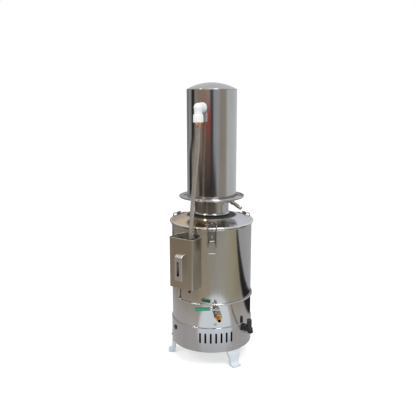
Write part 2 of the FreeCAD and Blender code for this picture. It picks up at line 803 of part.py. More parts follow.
wall_screw = domed_head(WALL_SCREW_HEAD_R, WALL_SCREW_HEAD, LEG_SCREW_R, SHEET + 4)
keep("wall_screws", *[around(outward(wall_screw, x=POT_R, z=height), angle) for angle, height in WALL_SCREWS])

# ---------------------------------------------------------------- lid
lid_x0 = POT_IN_R
lid_top_middle = crown_middle(lid_x0, LID_TOP_Z, NECK_R, CROWN_Z, LID_BULGE)
lid_low_middle = (lid_top_middle[0] - 0.2, lid_top_middle[1] - SHEET)


def arc_centre(a, b, c):
    """Centre and radius of the circle through three points of a plane."""
    circle = Part.Arc(side(*a), side(*b), side(*c)).toShape().Curve
    return circle.Center.x, circle.Center.z, circle.Radius


lid_arc_x, lid_arc_z, lid_arc_r = arc_centre((lid_x0, LID_TOP_Z), lid_top_middle, (NECK_R, CROWN_Z))


def lid_surface(radius):
    return lid_arc_z + math.sqrt(lid_arc_r**2 - (radius - lid_arc_x) ** 2)


roll_r = LID_EDGE / 2
lid = turned(
    [
        (lid_x0 - 3, LID_Z),
        (LID_R - roll_r, LID_Z),
        corner_arc((LID_R - roll_r, LID_Z + roll_r), roll_r, -90, 90),
        (lid_x0, LID_TOP_Z),
        lid_top_middle + (NECK_R, CROWN_Z),
        (NECK_R, CROWN_Z - SHEET),
        lid_low_middle + (lid_x0 - 0.6, LID_TOP_Z - SHEET),
        (LID_R - roll_r, LID_TOP_Z - SHEET),
        corner_arc((LID_R - roll_r, LID_Z + roll_r), roll_r - SHEET, 90, -90),
        (lid_x0 - 3, LID_Z + SHEET),
    ]
)
hook_rivet_z = lid_surface(HOOK_RIVET_R)
hook_rivet_drills = [
    band(RIVET_R, 0, hook_rivet_z - 8, hook_rivet_z + 8).translated(spot(angle, HOOK_RIVET_R, 0))
    for angle in LATCH_ANGLES
]
keep("lid", drilled(lid, hook_rivet_drills))

# ---------------------------------------------------------------- steam riser and collar tray
bead_low = CROWN_Z + 0.5
bead_mid = bead_low + NECK_BEAD_HEIGHT / 2
riser_top = TRAY_Z + SHEET + RISER_ABOVE_TRAY
riser = turned(
    [
        (NECK_R, CROWN_Z - 4),
        (NECK_R, bead_low),
        (NECK_R + NECK_BEAD, bead_mid, NECK_R, bead_low + NECK_BEAD_HEIGHT),
        (NECK_R, riser_top),
        (NECK_R - SHEET, riser_top),
        (NECK_R - SHEET, CROWN_Z - 4),
    ]
)
keep("steam_riser", riser)

tray_lip_z = TRAY_Z + SHEET + TRAY_LIP
lip_r = TRAY_LIP_THICK / 2
tray = turned(
    [
        (NECK_R, TRAY_Z),
        (TRAY_R - 5, TRAY_Z),
        (TRAY_R - 1.4, TRAY_Z + 1.4, TRAY_R, tray_lip_z - TRAY_LIP_THICK),
        corner_arc((TRAY_R - lip_r, tray_lip_z - lip_r), lip_r, 0, 180),
        (TRAY_R - TRAY_LIP_THICK, tray_lip_z - TRAY_LIP_THICK),
        (TRAY_R - 3.6, TRAY_Z + 2.2, TRAY_R - 5.4, TRAY_Z + SHEET),
        (NECK_R, TRAY_Z + SHEET),
    ]
)
gutter_r = (NECK_R + DOME_R - SHEET) / 2
drain_drill = band(DISTILLATE_DRAIN_R, 0, TRAY_Z - 1, TRAY_Z + SHEET + 1).translated(
    spot(DISTILLATE_ANGLE, gutter_r, 0)
)
keep("collar_tray", tray.cut(drain_drill))

# ---------------------------------------------------------------- condenser tower
dome_top = SHELL_Z + DOME_HEIGHT
keep(
    "condensing_dome",
    turned(
        [
            (DOME_R, SHELL_Z),
            (DOME_R, dome_top),
            crown(DOME_R, dome_top, dome_top + DOME_CROWN) + (0, dome_top + DOME_CROWN),
            (0, dome_top + DOME_CROWN - SHEET),
            crown(DOME_R - SHEET, dome_top - SHEET, dome_top + DOME_CROWN - SHEET)
            + (DOME_R - SHEET, dome_top - SHEET),
            (DOME_R - SHEET, SHELL_Z),
        ]
    ),
)
stub_hole = wall_hole(OUTLET_STUB_R, ELBOW_ANGLE, ELBOW_Z, SHELL_R - 6, SHELL_R + 5)
inlet_z = SHELL_Z + INLET_RISE
inlet_hole = wall_hole(NOZZLE_R, INLET_ANGLE, inlet_z, SHELL_R - 6, SHELL_R + 5)
keep("condenser_shell", drilled(band(SHELL_R, SHELL_IN_R, SHELL_Z, SHOULDER_Z), [stub_hole, inlet_hole]))
cap_edge_r = SHELL_R - SHEET
keep(
    "condenser_cap",
    turned(
        [
            (SHELL_R, SHOULDER_Z),
            corner_arc((cap_edge_r, SHOULDER_Z), SHEET, 0, 90),
            crown(cap_edge_r, SHOULDER_Z + SHEET, SHOULDER_Z + CAP_CROWN) + (0, SHOULDER_Z + CAP_CROWN),
            (0, SHOULDER_Z + CAP_CROWN - SHEET),
            crown(SHELL_IN_R, SHOULDER_Z, SHOULDER_Z + CAP_CROWN - SHEET) + (SHELL_IN_R, SHOULDER_Z),
        ]
    ),
)

# ---------------------------------------------------------------- water nozzles
cup_floor = TRAY_Z - DISTILLATE_CUP_DEPTH
cup = band(DISTILLATE_CUP_R, 0, cup_floor, TRAY_Z).translated(V(DISTILLATE_CUP_X, 0, 0))
cup_hollow = band(DISTILLATE_CUP_R - SHEET, 0, cup_floor + SHEET, TRAY_Z + 1)
cup_hollow = cup_hollow.translated(V(DISTILLATE_CUP_X, 0, 0))
fall = math.radians(DISTILLATE_FALL)
spout_start = V(DISTILLATE_CUP_X, 0, cup_floor + NOZZLE_R)
spout_heading = V(math.cos(fall), 0, -math.sin(fall))
spout = Part.makeCylinder(NOZZLE_R, DISTILLATE_REACH, spout_start, spout_heading)
spout_bore = Part.makeCylinder(NOZZLE_BORE_R, DISTILLATE_REACH, spout_start, spout_heading)
sleeve_start = spout_start + spout_heading * (DISTILLATE_CUP_R - SHEET)
spout_sleeve = Part.makeCylinder(NOZZLE_ROOT_R, NOZZLE_ROOT + 2 * SHEET, sleeve_start, spout_heading)
distillate = cup.fuse([spout, spout_sleeve]).cut(cup_hollow).cut(spout_bore)
keep("distillate_nozzle", around(distillate.removeSplitter(), DISTILLATE_ANGLE))
inlet_tube = outward(band(NOZZLE_R, NOZZLE_BORE_R, SHELL_R - 4, SHELL_R + INLET_LENGTH), z=inlet_z)
inlet_sleeve = outward(band(NOZZLE_ROOT_R, NOZZLE_BORE_R, SHELL_R - 2, SHELL_R + NOZZLE_ROOT), z=inlet_z)
inlet_sleeve = inlet_sleeve.cut(band(SHELL_R, 0, inlet_z - 20, inlet_z + 20))
keep("cooling_inlet", around(fused([inlet_tube, inlet_sleeve]), INLET_ANGLE))

# ---------------------------------------------------------------- outlet elbow, union nut, clamp
stub_start = SHELL_R - 4
stub_end = SHELL_R + OUTLET_STUB
stub = outward(band(OUTLET_STUB_R, OUTLET_STUB_BORE_R, stub_start, stub_end), z=ELBOW_Z)
keep("outlet_stub", around(stub, ELBOW_ANGLE))
elbow_start = SHELL_R + 2
leg_bottom = ELBOW_Z - ELBOW_LEG
spigot_bottom = UNION_Z - SPIGOT_BELOW_UNION
elbow_solids = [
    outward(band(ELBOW_R, 0, elbow_start, ELBOW_X), z=ELBOW_Z),
    outward(band(ELBOW_COLLAR_R, 0, elbow_start, elbow_start + ELBOW_COLLAR), z=ELBOW_Z),
    Part.makeSphere(ELBOW_R, V(ELBOW_X, 0, ELBOW_Z)),
    band(ELBOW_LEG_R, 0, leg_bottom, ELBOW_Z).translated(V(ELBOW_X, 0, 0)),
    band(HOSE_BORE_R, 0, spigot_bottom, leg_bottom).translated(V(ELBOW_X, 0, 0)),
]
elbow_cuts = [
    outward(band(OUTLET_STUB_R, 0, elbow_start - 1, stub_end), z=ELBOW_Z),
    outward(band(SPIGOT_BORE_R, 0, stub_end - 1, ELBOW_X), z=ELBOW_Z),
    band(SPIGOT_BORE_R, 0, spigot_bottom - 1, ELBOW_Z).translated(V(ELBOW_X, 0, 0)),
]
keep("outlet_elbow", around(drilled(fused(elbow_solids), elbow_cuts), ELBOW_ANGLE))
union = turned(
    [
        (HOSE_R, UNION_Z),
        (UNION_R - 1, UNION_Z),
        (UNION_R, UNION_Z + 1),
        (UNION_R, UNION_TOP_Z - 4),
        (ELBOW_LEG_R + 1.2, UNION_TOP_Z),
        (ELBOW_LEG_R, UNION_TOP_Z),
        (ELBOW_LEG_R, leg_bottom),
        (HOSE_BORE_R, leg_bottom),
        (HOSE_BORE_R, HOSE_TOP_Z),
        (HOSE_R, HOSE_TOP_Z),
    ]
)
rib_tools = [
    band(1.1, 0, UNION_Z - 1, UNION_TOP_Z - 4).translated(spot(360.0 * i / UNION_RIBS, UNION_R + 0.5, 0))
    for i in range(UNION_RIBS)
]
union = drilled(union, rib_tools).translated(V(ELBOW_X, 0, 0))
keep("union_nut", around(union, ELBOW_ANGLE))
clamp_top = UNION_Z - CLAMP_DROP
clamp_ring = band(HOSE_R + CLAMP_THICK, HOSE_R, clamp_top - CLAMP_HEIGHT, clamp_top)
clamp_ear = Part.makeBox(5, 6, CLAMP_HEIGHT, V(HOSE_R + 0.6, -3, clamp_top - CLAMP_HEIGHT))
clamp = fused([clamp_ring, clamp_ear]).translated(V(ELBOW_X, 0, 0))
keep("hose_clamp", around(clamp, ELBOW_ANGLE))

# ---------------------------------------------------------------- clear hose
box_hose_spot = around(Part.Vertex(V(HOSE_HOLE_X, HOSE_HOLE_Y, 0)), BOX_ANGLE).Point
hose_low_z = BOX_PLATE_Z - HOSE_IN_BOX
hose_points = [spot(ELBOW_ANGLE, ELBOW_X, HOSE_TOP_Z)]
hose_points += [spot(*place) for place in HOSE_ROUTE]
hose_points += [box_hose_spot + V(0, 0, hose_low_z + HOSE_LAST_RUN), box_hose_spot + V(0, 0, hose_low_z)]
hose_radii = cord_radii(hose_points)
hose_edges = rounded_path(hose_points, hose_radii)
hose = tube(hose_edges, HOSE_R, HOSE_BORE_R)
hose_length = sum(edge.Length for edge in hose_edges)
hose_section = math.pi * (HOSE_R**2 - HOSE_BORE_R**2)
print("hose bend radii", [round(r, 1) for r in hose_radii])
print("hose length %.1f, volume %.0f" % (hose_length, hose.Volume))
print("section times length %.0f" % (hose_section * hose_length))
keep("clear_hose", hose)


# ---------------------------------------------------------------- level box
def box_outline(inset):
    half = BOX_WIDTH / 2 - inset
    face = BOX_FACE - inset
    bend = BOX_EDGE_R - inset
    back = chord(POT_R, half) - SHEET
    return outline(
        [
            (back, -half),
            (face - bend, -half),
            corner_arc((face - bend, -half + bend), bend, -90, 0),
            (face, half - bend),
            corner_arc((face - bend, half - bend), bend, 0, 90),
            (back, half),
        ],
        plan,
    )


def box_block(inset, low, high):
    block = box_outline(inset).extrude(V(0, 0, high - low))
    block.translate(V(0, 0, low))
    return block.cut(band(POT_R, 0, low - 1, high + 1))


guard_z = BOX_Z + GUARD_RISE
glass_z = BOX_Z + GLASS_RISE
glass_top = glass_z + GLASS_LENGTH
glass_x = BOX_FACE + GLASS_STAND
fitting_zs = (glass_z - FITTING_HEIGHT / 2, glass_top + FITTING_HEIGHT / 2)
pipe_stand = spot(PIPE_STAND_ANGLE, PIPE_STAND_R, 0)
pipe_drill = band(PIPE_R, 0, BOX_Z - 2, BOX_Z + 4).translated(pipe_stand)
box_body = box_block(0, BOX_Z, BOX_TOP_Z).cut(box_block(SHEET, BOX_Z + SHEET, BOX_TOP_Z + 2))
box_drills = [wall_hole(FITTING_R, BOX_ANGLE, z, BOX_FACE - 5, BOX_FACE + 5, GUARD_Y) for z in fitting_zs]
keep("level_box", drilled(around(box_body, BOX_ANGLE), box_drills + [pipe_drill]))
hose_hole_r = HOSE_R + GROMMET_WALL
top_plate = box_block(SHEET, BOX_PLATE_Z, BOX_PLATE_Z + SHEET)
top_plate = drilled(
    top_plate,
    [
        band(hose_hole_r, 0, BOX_PLATE_Z - 1, BOX_TOP_Z).translated(V(HOSE_HOLE_X, HOSE_HOLE_Y, 0)),
        band(VENT_HOLE_R, 0, BOX_PLATE_Z - 1, BOX_TOP_Z).translated(V(VENT_HOLE_X, VENT_HOLE_Y, 0)),
    ],
)
keep("level_box_top", around(top_plate, BOX_ANGLE))
lip_r = hose_hole_r + GROMMET_LIP
grommet = fused(
    [
        band(hose_hole_r, HOSE_R, BOX_PLATE_Z - GROMMET_LIP_THICK, BOX_PLATE_Z + SHEET + GROMMET_LIP_THICK),
        band(lip_r, HOSE_R, BOX_PLATE_Z - GROMMET_LIP_THICK, BOX_PLATE_Z),
        band(lip_r, HOSE_R, BOX_PLATE_Z + SHEET, BOX_PLATE_Z + SHEET + GROMMET_LIP_THICK),
    ]
)
keep("hose_grommet", around(grommet.translated(V(HOSE_HOLE_X, HOSE_HOLE_Y, 0)), BOX_ANGLE))
feed = outward(band(FEED_R, FEED_BORE_R, POT_R - FEED_LENGTH / 2, POT_R + FEED_LENGTH / 2), z=feed_z)
keep("feed_nipple", around(feed, BOX_ANGLE))


# ---------------------------------------------------------------- sight glass and its guard
def guard_side(inset, low, high):
    front_x = BOX_FACE + GUARD_DEPTH - inset
    arc_r = GUARD_TOP_R - inset
    return outline(
        [
            (BOX_FACE, low),
            (front_x, low),
            (front_x, high - arc_r),
            corner_arc((front_x - arc_r, high - arc_r), arc_r, 0, 90),
            (BOX_FACE, high),
        ],
        side,
    )


def guard_block(inset, low, high):
    """The guard's solid outline with its upright front edges rounded."""
    half = GUARD_WIDTH / 2 - inset
    face = guard_side(inset, low, high)
    face.translate(V(0, GUARD_Y - half, 0))
    block = face.extrude(V(0, 2 * half, 0))
    front_x = BOX_FACE + GUARD_DEPTH - inset
    upright = [
        edge
        for edge in block.Edges
        if edge.BoundBox.YLength < 1e-6 and edge.BoundBox.XMin > front_x - 1e-6 and edge.BoundBox.ZLength > 5
    ]
    return block.makeFillet(GUARD_EDGE_R - inset, upright)


guard_top = guard_z + GUARD_HEIGHT
slot_low = guard_z + GUARD_SLOT_RISE
guard_slot = outline(
    [
        (GUARD_Y - GUARD_SLOT_WIDTH / 2, slot_low),
        (GUARD_Y + GUARD_SLOT_WIDTH / 2, slot_low),
        (GUARD_Y + GUARD_SLOT_WIDTH / 2, slot_low + GUARD_SLOT_LENGTH),
        (GUARD_Y - GUARD_SLOT_WIDTH / 2, slot_low + GUARD_SLOT_LENGTH),
    ],
    front,
)
guard_slot.translate(V(BOX_FACE + GUARD_DEPTH - 4, 0, 0))
guard = guard_block(0, guard_z, guard_top).cut(guard_block(SHEET, guard_z + SHEET, guard_top - SHEET))
inside = GUARD_WIDTH / 2 - SHEET
inside_low = GUARD_Y - inside
inside_high = GUARD_Y + inside
guard_back = strip(inside_low, inside_high, BOX_FACE - 1, BOX_FACE + 1, guard_z + SHEET, guard_top - SHEET)
guard = guard.cut(guard_back)
guard = guard.cut(guard_slot.extrude(V(8, 0, 0)))
keep("sight_guard", around(guard, BOX_ANGLE))
glass = band(GLASS_R, GLASS_BORE_R, glass_z, glass_top).translated(V(glass_x, GUARD_Y, 0))
keep("sight_glass", around(glass, BOX_ANGLE))
fittings = []
for z, sign in ((fitting_zs[0], 1), (fitting_zs[1], -1)):
    half = FITTING_BLOCK / 2
    corner = V(glass_x - half, GUARD_Y - half, z - FITTING_HEIGHT / 2)
    block = Part.makeBox(FITTING_BLOCK, FITTING_BLOCK, FITTING_HEIGHT, corner)
    arm = outward(band(FITTING_R, 0, BOX_FACE - 4, glass_x), z=z, y=GUARD_Y)
    water_way = outward(band(FITTING_R - 1.5, 0, BOX_FACE - 5, glass_x), z=z, y=GUARD_Y)
    rise = band(FITTING_R - 1.5, 0, 0, FITTING_HEIGHT / 2 + 1).translated(
        V(glass_x, GUARD_Y, z if sign > 0 else z - FITTING_HEIGHT / 2 - 1)
    )
    fittings.append(around(drilled(block.fuse(arm).removeSplitter(), [water_way, rise]), BOX_ANGLE))
keep("sight_fittings", *fittings)

# ---------------------------------------------------------------- overflow pipe
stand_foot = PIPE_Z + PIPE_BEND_R
first_bend_centre = pipe_stand + (spot(PIPE_FIRST_ANGLE + 90, 1, 0) * PIPE_BEND_R) + V(0, 0, stand_foot)
run_heading = spot(PIPE_FIRST_ANGLE + 90, 1, 0)
sine = math.sin(math.radians(45))
pipe_edges = [
    Part.LineSegment(pipe_stand + V(0, 0, PIPE_STANDING), pipe_stand + V(0, 0, stand_foot)).toShape(),
    Part.Arc(
        pipe_stand + V(0, 0, stand_foot),
        first_bend_centre - run_heading * (PIPE_BEND_R * sine) - UP * (PIPE_BEND_R * sine),
        spot(PIPE_FIRST_ANGLE, PIPE_RING_R, PIPE_Z),
    ).toShape(),
    Part.Arc(
        spot(PIPE_FIRST_ANGLE, PIPE_RING_R, PIPE_Z),
        spot((PIPE_FIRST_ANGLE + PIPE_LAST_ANGLE) / 2, PIPE_RING_R, PIPE_Z),
        spot(PIPE_LAST_ANGLE, PIPE_RING_R, PIPE_Z),
    ).toShape(),
]
out_heading = spot(PIPE_LAST_ANGLE, 1, 0)
end_heading = spot(PIPE_LAST_ANGLE + 90, 1, 0)
bend_centre = spot(PIPE_LAST_ANGLE, PIPE_RING_R + PIPE_BEND_R, PIPE_Z)
bend_end = bend_centre + end_heading * PIPE_BEND_R
pipe_edges += [
    Part.Arc(
        spot(PIPE_LAST_ANGLE, PIPE_RING_R, PIPE_Z),
        bend_centre + (end_heading - out_heading) * (PIPE_BEND_R * sine),
        bend_end,
    ).toShape(),
    Part.LineSegment(bend_end, bend_end + out_heading * PIPE_TAIL).toShape(),
]
keep("overflow_pipe", tube(pipe_edges, PIPE_R, PIPE_BORE_R))


# ---------------------------------------------------------------- drain valve
def on_valve(shape):
    """Place a piece drawn along +Z, with zero at the ball's centre, on the valve's axis."""
    return around(outward(shape, x=VALVE_X, z=VALVE_Z), VALVE_ANGLE)


def at_valve(shape):
    """Place a piece drawn upright about the ball's centre."""
    return around(shape.translated(V(VALVE_X, 0, VALVE_Z)), VALVE_ANGLE)


hex_inner = BODY_HALF - BODY_HEX_LENGTH
nipple_start = POT_R - 4 - VALVE_X
weld = around(outward(band(WELD_R, NIPPLE_R, POT_R - 4, POT_R + WELD_DEPTH), z=VALVE_Z), VALVE_ANGLE)
weld = weld.cut(band(POT_R, 0, VALVE_Z - 20, VALVE_Z + 20))
keep("valve_nipple", fused([on_valve(band(NIPPLE_R, VALVE_BORE_R, nipple_start, -hex_inner)), weld]))
body_core = turned(
    [
        (0, -hex_inner),
        (BODY_WAIST_R, -hex_inner),
        (BODY_WAIST_R, -9),
        (BODY_R, -6),
        (BODY_R, 6),
        (BODY_WAIST_R, 9),
        (BODY_WAIST_R, hex_inner),
        (0, hex_inner),
    ]
)
body_ends = [
    hexagon(BODY_HEX_FLATS, -BODY_HALF, -hex_inner, 30),
    hexagon(BODY_HEX_FLATS, hex_inner, BODY_HALF, 30),
]
body = on_valve(fused([body_core] + body_ends))
body = fused([body, at_valve(band(STEM_BOSS_R, 0, 0, STEM_BOSS_TOP))])
body_cuts = [
    on_valve(band(NIPPLE_R, 0, -BODY_HALF - 1, -hex_inner)),
    on_valve(band(VALVE_BORE_R, 0, -BODY_HALF, BODY_HALF)),
    on_valve(band(TAIL_THREAD_R, 0, hex_inner, BODY_HALF + 1)),
    on_valve(band(SEAT_R, 0, -SEAT_OUT, SEAT_OUT)),
    at_valve(Part.makeSphere(BALL_R + FREE_GAP)),
    at_valve(band(STEM_R + RUN_GAP, 0, 0, STEM_BOSS_TOP + 1)),
]
keep("valve_body", drilled(body, body_cuts))
seat_ball = Part.makeSphere(BALL_R + RUN_GAP)
seats = [band(SEAT_R, VALVE_BORE_R + 0.3, *ends) for ends in ((-SEAT_OUT, -SEAT_IN), (SEAT_IN, SEAT_OUT))]
keep("valve_seats", *[on_valve(seat.cut(seat_ball)) for seat in seats])
lever_low = STEM_BOSS_TOP + FREE_GAP
lever_top = lever_low + LEVER_THICK
nut_top = lever_top + LEVER_NUT_HEIGHT
stem_bottom = BALL_R - 1.5
stem = band(STEM_R, 0, stem_bottom, nut_top + 0.8)
ball = Part.makeSphere(BALL_R).cut(stem)
ball = ball.cut(Part.makeCylinder(VALVE_BORE_R, 2 * BALL_R + 2, V(0, -BALL_R - 1, 0), V(0, 1, 0)))
keep("valve_ball", at_valve(ball))
keep("valve_stem", at_valve(stem))
keep(
    "lever_nut",
    at_valve(hexagon(LEVER_NUT_FLATS, lever_top, nut_top).cut(band(STEM_R, 0, lever_top, nut_top))),
)
blade_low = lever_low + LEVER_CRANK
lever_side = outline(
    [
        (0, lever_low),
        (-LEVER_CRANK_START, lever_low),
        (-LEVER_CRANK_END, blade_low),
        (-LEVER_LENGTH, blade_low),
        (-LEVER_LENGTH, blade_low + LEVER_THICK),
        (-LEVER_CRANK_END - 1, blade_low + LEVER_THICK),
        (-LEVER_CRANK_START - 1, lever_top),
        (0, lever_top),
    ],
    front,
)
lever_side.translate(V(-LEVER_BLADE / 2, 0, 0))
lever = fused([lever_side.extrude(V(LEVER_BLADE, 0, 0)), band(LEVER_DISC_R, 0, lever_low, lever_top)])
keep("valve_lever", at_valve(lever.cut(band(STEM_R, 0, lever_low - 1, lever_top + 1))))
sleeve_mid = blade_low + LEVER_THICK / 2
sleeve_end = SLEEVE_START + SLEEVE_LENGTH
half_thick = SLEEVE_THICK / 2
half_wide = SLEEVE_WIDTH / 2
sleeve_section = outline(
    [
        (-half_wide + half_thick, -half_thick),
        (half_wide - half_thick, -half_thick),
        corner_arc((half_wide - half_thick, 0), half_thick, -90, 90),
        (-half_wide + half_thick, half_thick),
        corner_arc((-half_wide + half_thick, 0), half_thick, 90, 270),
    ],
    side,
)
sleeve = sleeve_section.extrude(V(0, SLEEVE_LENGTH, 0))
sleeve.translate(V(0, -sleeve_end, sleeve_mid))
sleeve = sleeve.makeFillet(2.2, [e for e in sleeve.Edges if abs(e.BoundBox.YMax + sleeve_end) < 1e-6])
sleeve_slot = Part.makeBox(
    LEVER_BLADE, LEVER_LENGTH, LEVER_THICK, V(-LEVER_BLADE / 2, -LEVER_LENGTH, blade_low)
)
keep("lever_sleeve", at_valve(sleeve.cut(sleeve_slot)))
tail_end = BODY_HALF + TAIL_HEX + TAIL_LENGTH
tail = fused(
    [
        band(TAIL_THREAD_R, 0, BODY_HALF - TAIL_THREAD, BODY_HALF),
        hexagon(TAIL_FLATS, BODY_HALF, BODY_HALF + TAIL_HEX, 30),
        band(TAIL_R, 0, BODY_HALF + TAIL_HEX, tail_end),
    ]
)
keep("drain_tail", on_valve(tail.cut(band(TAIL_BORE_R, 0, BODY_HALF - TAIL_THREAD - 1, tail_end + 1))))


# ---------------------------------------------------------------- toggle latches
def catch_base():
    outer = POT_R + CATCH_BASE_THICK
    low = HINGE_Z - CATCH_BASE_BOTTOM
    high = HINGE_Z + CATCH_BASE_TOP
    plate = band(outer, POT_R, low, high).common(
        strip(-CATCH_BASE_WIDTH / 2, CATCH_BASE_WIDTH / 2, POT_R - 5, outer + 1, low, high)
    )
    pieces = [plate]
    for y0, y1 in ((EAR_IN, EAR_OUT), (-EAR_OUT, -EAR_IN)):
        ear = Part.makeCylinder(HINGE_BARREL_R, y1 - y0, V(HINGE_X, y0, HINGE_Z), V(0, 1, 0))
        web = strip(y0, y1, POT_R, HINGE_X, HINGE_Z - HINGE_BARREL_R, HINGE_Z + HINGE_BARREL_R)
        pieces += [ear, web.cut(band(POT_R, 0, low, high))]
    return fused(pieces).cut(cross_rod(HINGE_PIN_R, 20, HINGE_X, HINGE_Z))


def latch_lever():
    barrel = cross_rod(HINGE_BARREL_R, BARREL_HALF, HINGE_X, HINGE_Z)
    plate_x = HINGE_X + HINGE_BARREL_R - LEVER_PLATE
    half = LATCH_LEVER_WIDTH / 2
    tip_z = HINGE_Z - LATCH_LEVER_LENGTH
    shoulder_z = HINGE_Z - LATCH_SHOULDER
    pieces = [
        barrel,
        strip(-BARREL_HALF, BARREL_HALF, plate_x, plate_x + LEVER_PLATE, shoulder_z - 1, HINGE_Z),
        strip(-half, half, plate_x, plate_x + LEVER_PLATE, tip_z, shoulder_z),
        cross_rod(LATCH_CURL_R, half, plate_x + LEVER_PLATE, tip_z),
    ]
    flange_x = plate_x - LATCH_FLANGE_DEPTH
    for y0, y1 in ((half - LEVER_PLATE, half), (-half, -half + LEVER_PLATE)):
        pieces.append(
            strip(y0, y1, flange_x, plate_x + 0.5, HINGE_Z - LATCH_FLANGE_BOTTOM, HINGE_Z - LATCH_FLANGE_TOP)
        )
    lever_solid = fused(pieces).cut(cross_rod(HINGE_PIN_R + RUN_GAP, 20, HINGE_X, HINGE_Z))
    return lever_solid.cut(cross_rod(BAIL_R + RUN_GAP, 20, BAIL_X, HINGE_Z - BAIL_DROP))


def bail():
    pivot_z = HINGE_Z - BAIL_DROP
    end_half = LATCH_LEVER_WIDTH / 2 - LEVER_PLATE - 0.2
    points = [
        V(BAIL_X, end_half, pivot_z),
        V(BAIL_X, BAIL_HALF, pivot_z),
        V(BAIL_SHOULDER_X, BAIL_HALF, BAIL_SHOULDER_Z),
        V(BAIL_TOP_X, BAIL_HALF, BAIL_CROSS_Z),
        V(BAIL_CROSS_X, BAIL_HALF, BAIL_CROSS_Z),
    ]
    points += [V(p.x, -p.y, p.z) for p in reversed(points)]
    radii = [2.2, 9.0, 5.0, BAIL_BEND_R]
    return swept(rounded_path(points, radii + radii[::-1]), BAIL_R)


def lid_hook():
    """A catch riveted to the lid, with a raised lip outside the bail's cross wire."""
    seat = BAIL_CROSS_Z - BAIL_R - BAIL_DIP - FREE_GAP
    lip_x = BAIL_CROSS_X + BAIL_R + FREE_GAP
    inner = (HOOK_INNER_R, lid_surface(HOOK_INNER_R))
    outer = (HOOK_BASE_OUTER_R, lid_surface(HOOK_BASE_OUTER_R))
    middle_x = (HOOK_INNER_R + HOOK_BASE_OUTER_R) / 2
    middle = (middle_x, lid_surface(middle_x))
    bend_x = HOOK_BASE_OUTER_R - 2 * RIVET_HEAD_R
    foot_x = (HOOK_INNER_R + bend_x) / 2
    face = outline(
        [
            inner,
            middle + outer,
            (lip_x + HOOK_THICK, seat - HOOK_THICK),
            (lip_x + HOOK_THICK, seat + HOOK_LIP),
            (lip_x, seat + HOOK_LIP),
            (lip_x, seat),
            (outer[0], seat),
            (bend_x, lid_surface(bend_x) + HOOK_THICK),
            (foot_x, lid_surface(foot_x) + HOOK_THICK, inner[0], inner[1] + HOOK_THICK),
        ],
        side,
    )
    face.translate(V(0, -HOOK_WIDTH / 2, 0))
    return face.extrude(V(0, HOOK_WIDTH, 0))


rivet = domed_head(RIVET_HEAD_R, RIVET_HEAD, RIVET_R, RIVET_SHANK)
base_rivet = outward(rivet, x=POT_R + CATCH_BASE_THICK, z=catch_rivet_z)
hook_rivet = rivet.translated(V(HOOK_RIVET_R, 0, hook_rivet_z + HOOK_THICK + HOLE_GAP))
bases, pins, hooks, rivets = [], [], [], []
for name, angle in zip(LATCH_NAMES, LATCH_ANGLES):
    base_drill = wall_hole(RIVET_R, angle, catch_rivet_z, POT_R - 5, POT_R + 5)
    hook_drill = band(RIVET_R, 0, hook_rivet_z - 8, hook_rivet_z + 8).translated(spot(angle, HOOK_RIVET_R, 0))
    bases.append(around(catch_base(), angle).cut(base_drill))
    pins.append(around(cross_rod(HINGE_PIN_R, EAR_OUT + 0.2, HINGE_X, HINGE_Z), angle))
    rivets += [around(base_rivet, angle), around(hook_rivet, angle)]
    hooks.append(around(lid_hook(), angle).cut(hook_drill).cut(rivets[-1]))
    keep("latch_lever_" + name, around(latch_lever(), angle))
    keep("latch_bail_" + name, around(bail(), angle))
keep("latch_bases", *bases)
keep("latch_pins", *pins)
keep("lid_hooks", *hooks)
keep("latch_rivets", *rivets)

# ---------------------------------------------------------------- power cord outlet
skirt_core = band(SKIRT_R, 0, SKIRT_Z, RIM_Z)
flange = band(OUTLET_FLANGE_R, 0, POT_R - 6, SKIRT_R + OUTLET_FLANGE)
notches = [
    band(2.2, 0, POT_R - 8, SKIRT_R + OUTLET_FLANGE + 2).translated(
        spot(360.0 * i / OUTLET_FLANGE_NOTCHES, OUTLET_FLANGE_R + 1.0, 0)
    )
    for i in range(OUTLET_FLANGE_NOTCHES)
]
flange = outward(drilled(flange, notches), z=OUTLET_Z).cut(skirt_core)
thread_start = lock_face - OUTLET_LOCKNUT - 1.5
nut_x = OUTLET_BODY_X + OUTLET_NUT_OFFSET
outlet_body = fused(
    [
        flange,
        outward(band(OUTLET_THREAD_R, 0, thread_start, OUTLET_BODY_X), z=OUTLET_Z),
        outward(band(OUTLET_NECK_R, 0, SKIRT_R + OUTLET_FLANGE - 1, OUTLET_BODY_X), z=OUTLET_Z),
        band(OUTLET_BODY_R, 0, OUTLET_BODY_BOTTOM, OUTLET_BODY_TOP - 3).translated(V(OUTLET_BODY_X, 0, 0)),
        Part.makeCone(OUTLET_BODY_R, OUTLET_BODY_R - 2.5, 3, V(OUTLET_BODY_X, 0, OUTLET_BODY_TOP - 3)),
        band(OUTLET_BODY_R, 0, OUTLET_BODY_BOTTOM, OUTLET_Z).translated(V(nut_x, 0, 0)),
        Part.makeSphere(OUTLET_BODY_R, V(nut_x, 0, OUTLET_Z)),
    ]
)
cord_way = [
    outward(band(CORD_BORE_R, 0, thread_start - 1, nut_x), z=OUTLET_Z),
    band(CORD_BORE_R, 0, OUTLET_BODY_BOTTOM - 1, OUTLET_Z).translated(V(nut_x, 0, 0)),
    Part.makeSphere(CORD_BORE_R, V(nut_x, 0, OUTLET_Z)),
]
keep("cord_outlet", around(drilled(outlet_body, cord_way), OUTLET_ANGLE))
nut_low = OUTLET_BODY_BOTTOM - OUTLET_NUT_LENGTH
cord_nut = fused(
    [
        hexagon(2 * OUTLET_NUT_R, nut_low + 3, OUTLET_BODY_BOTTOM),
        Part.makeCone(OUTLET_NUT_R - 2.5, OUTLET_NUT_R, 3, V(0, 0, nut_low)),
    ]
).cut(band(CORD_BORE_R, 0, nut_low - 1, OUTLET_BODY_BOTTOM + 1))
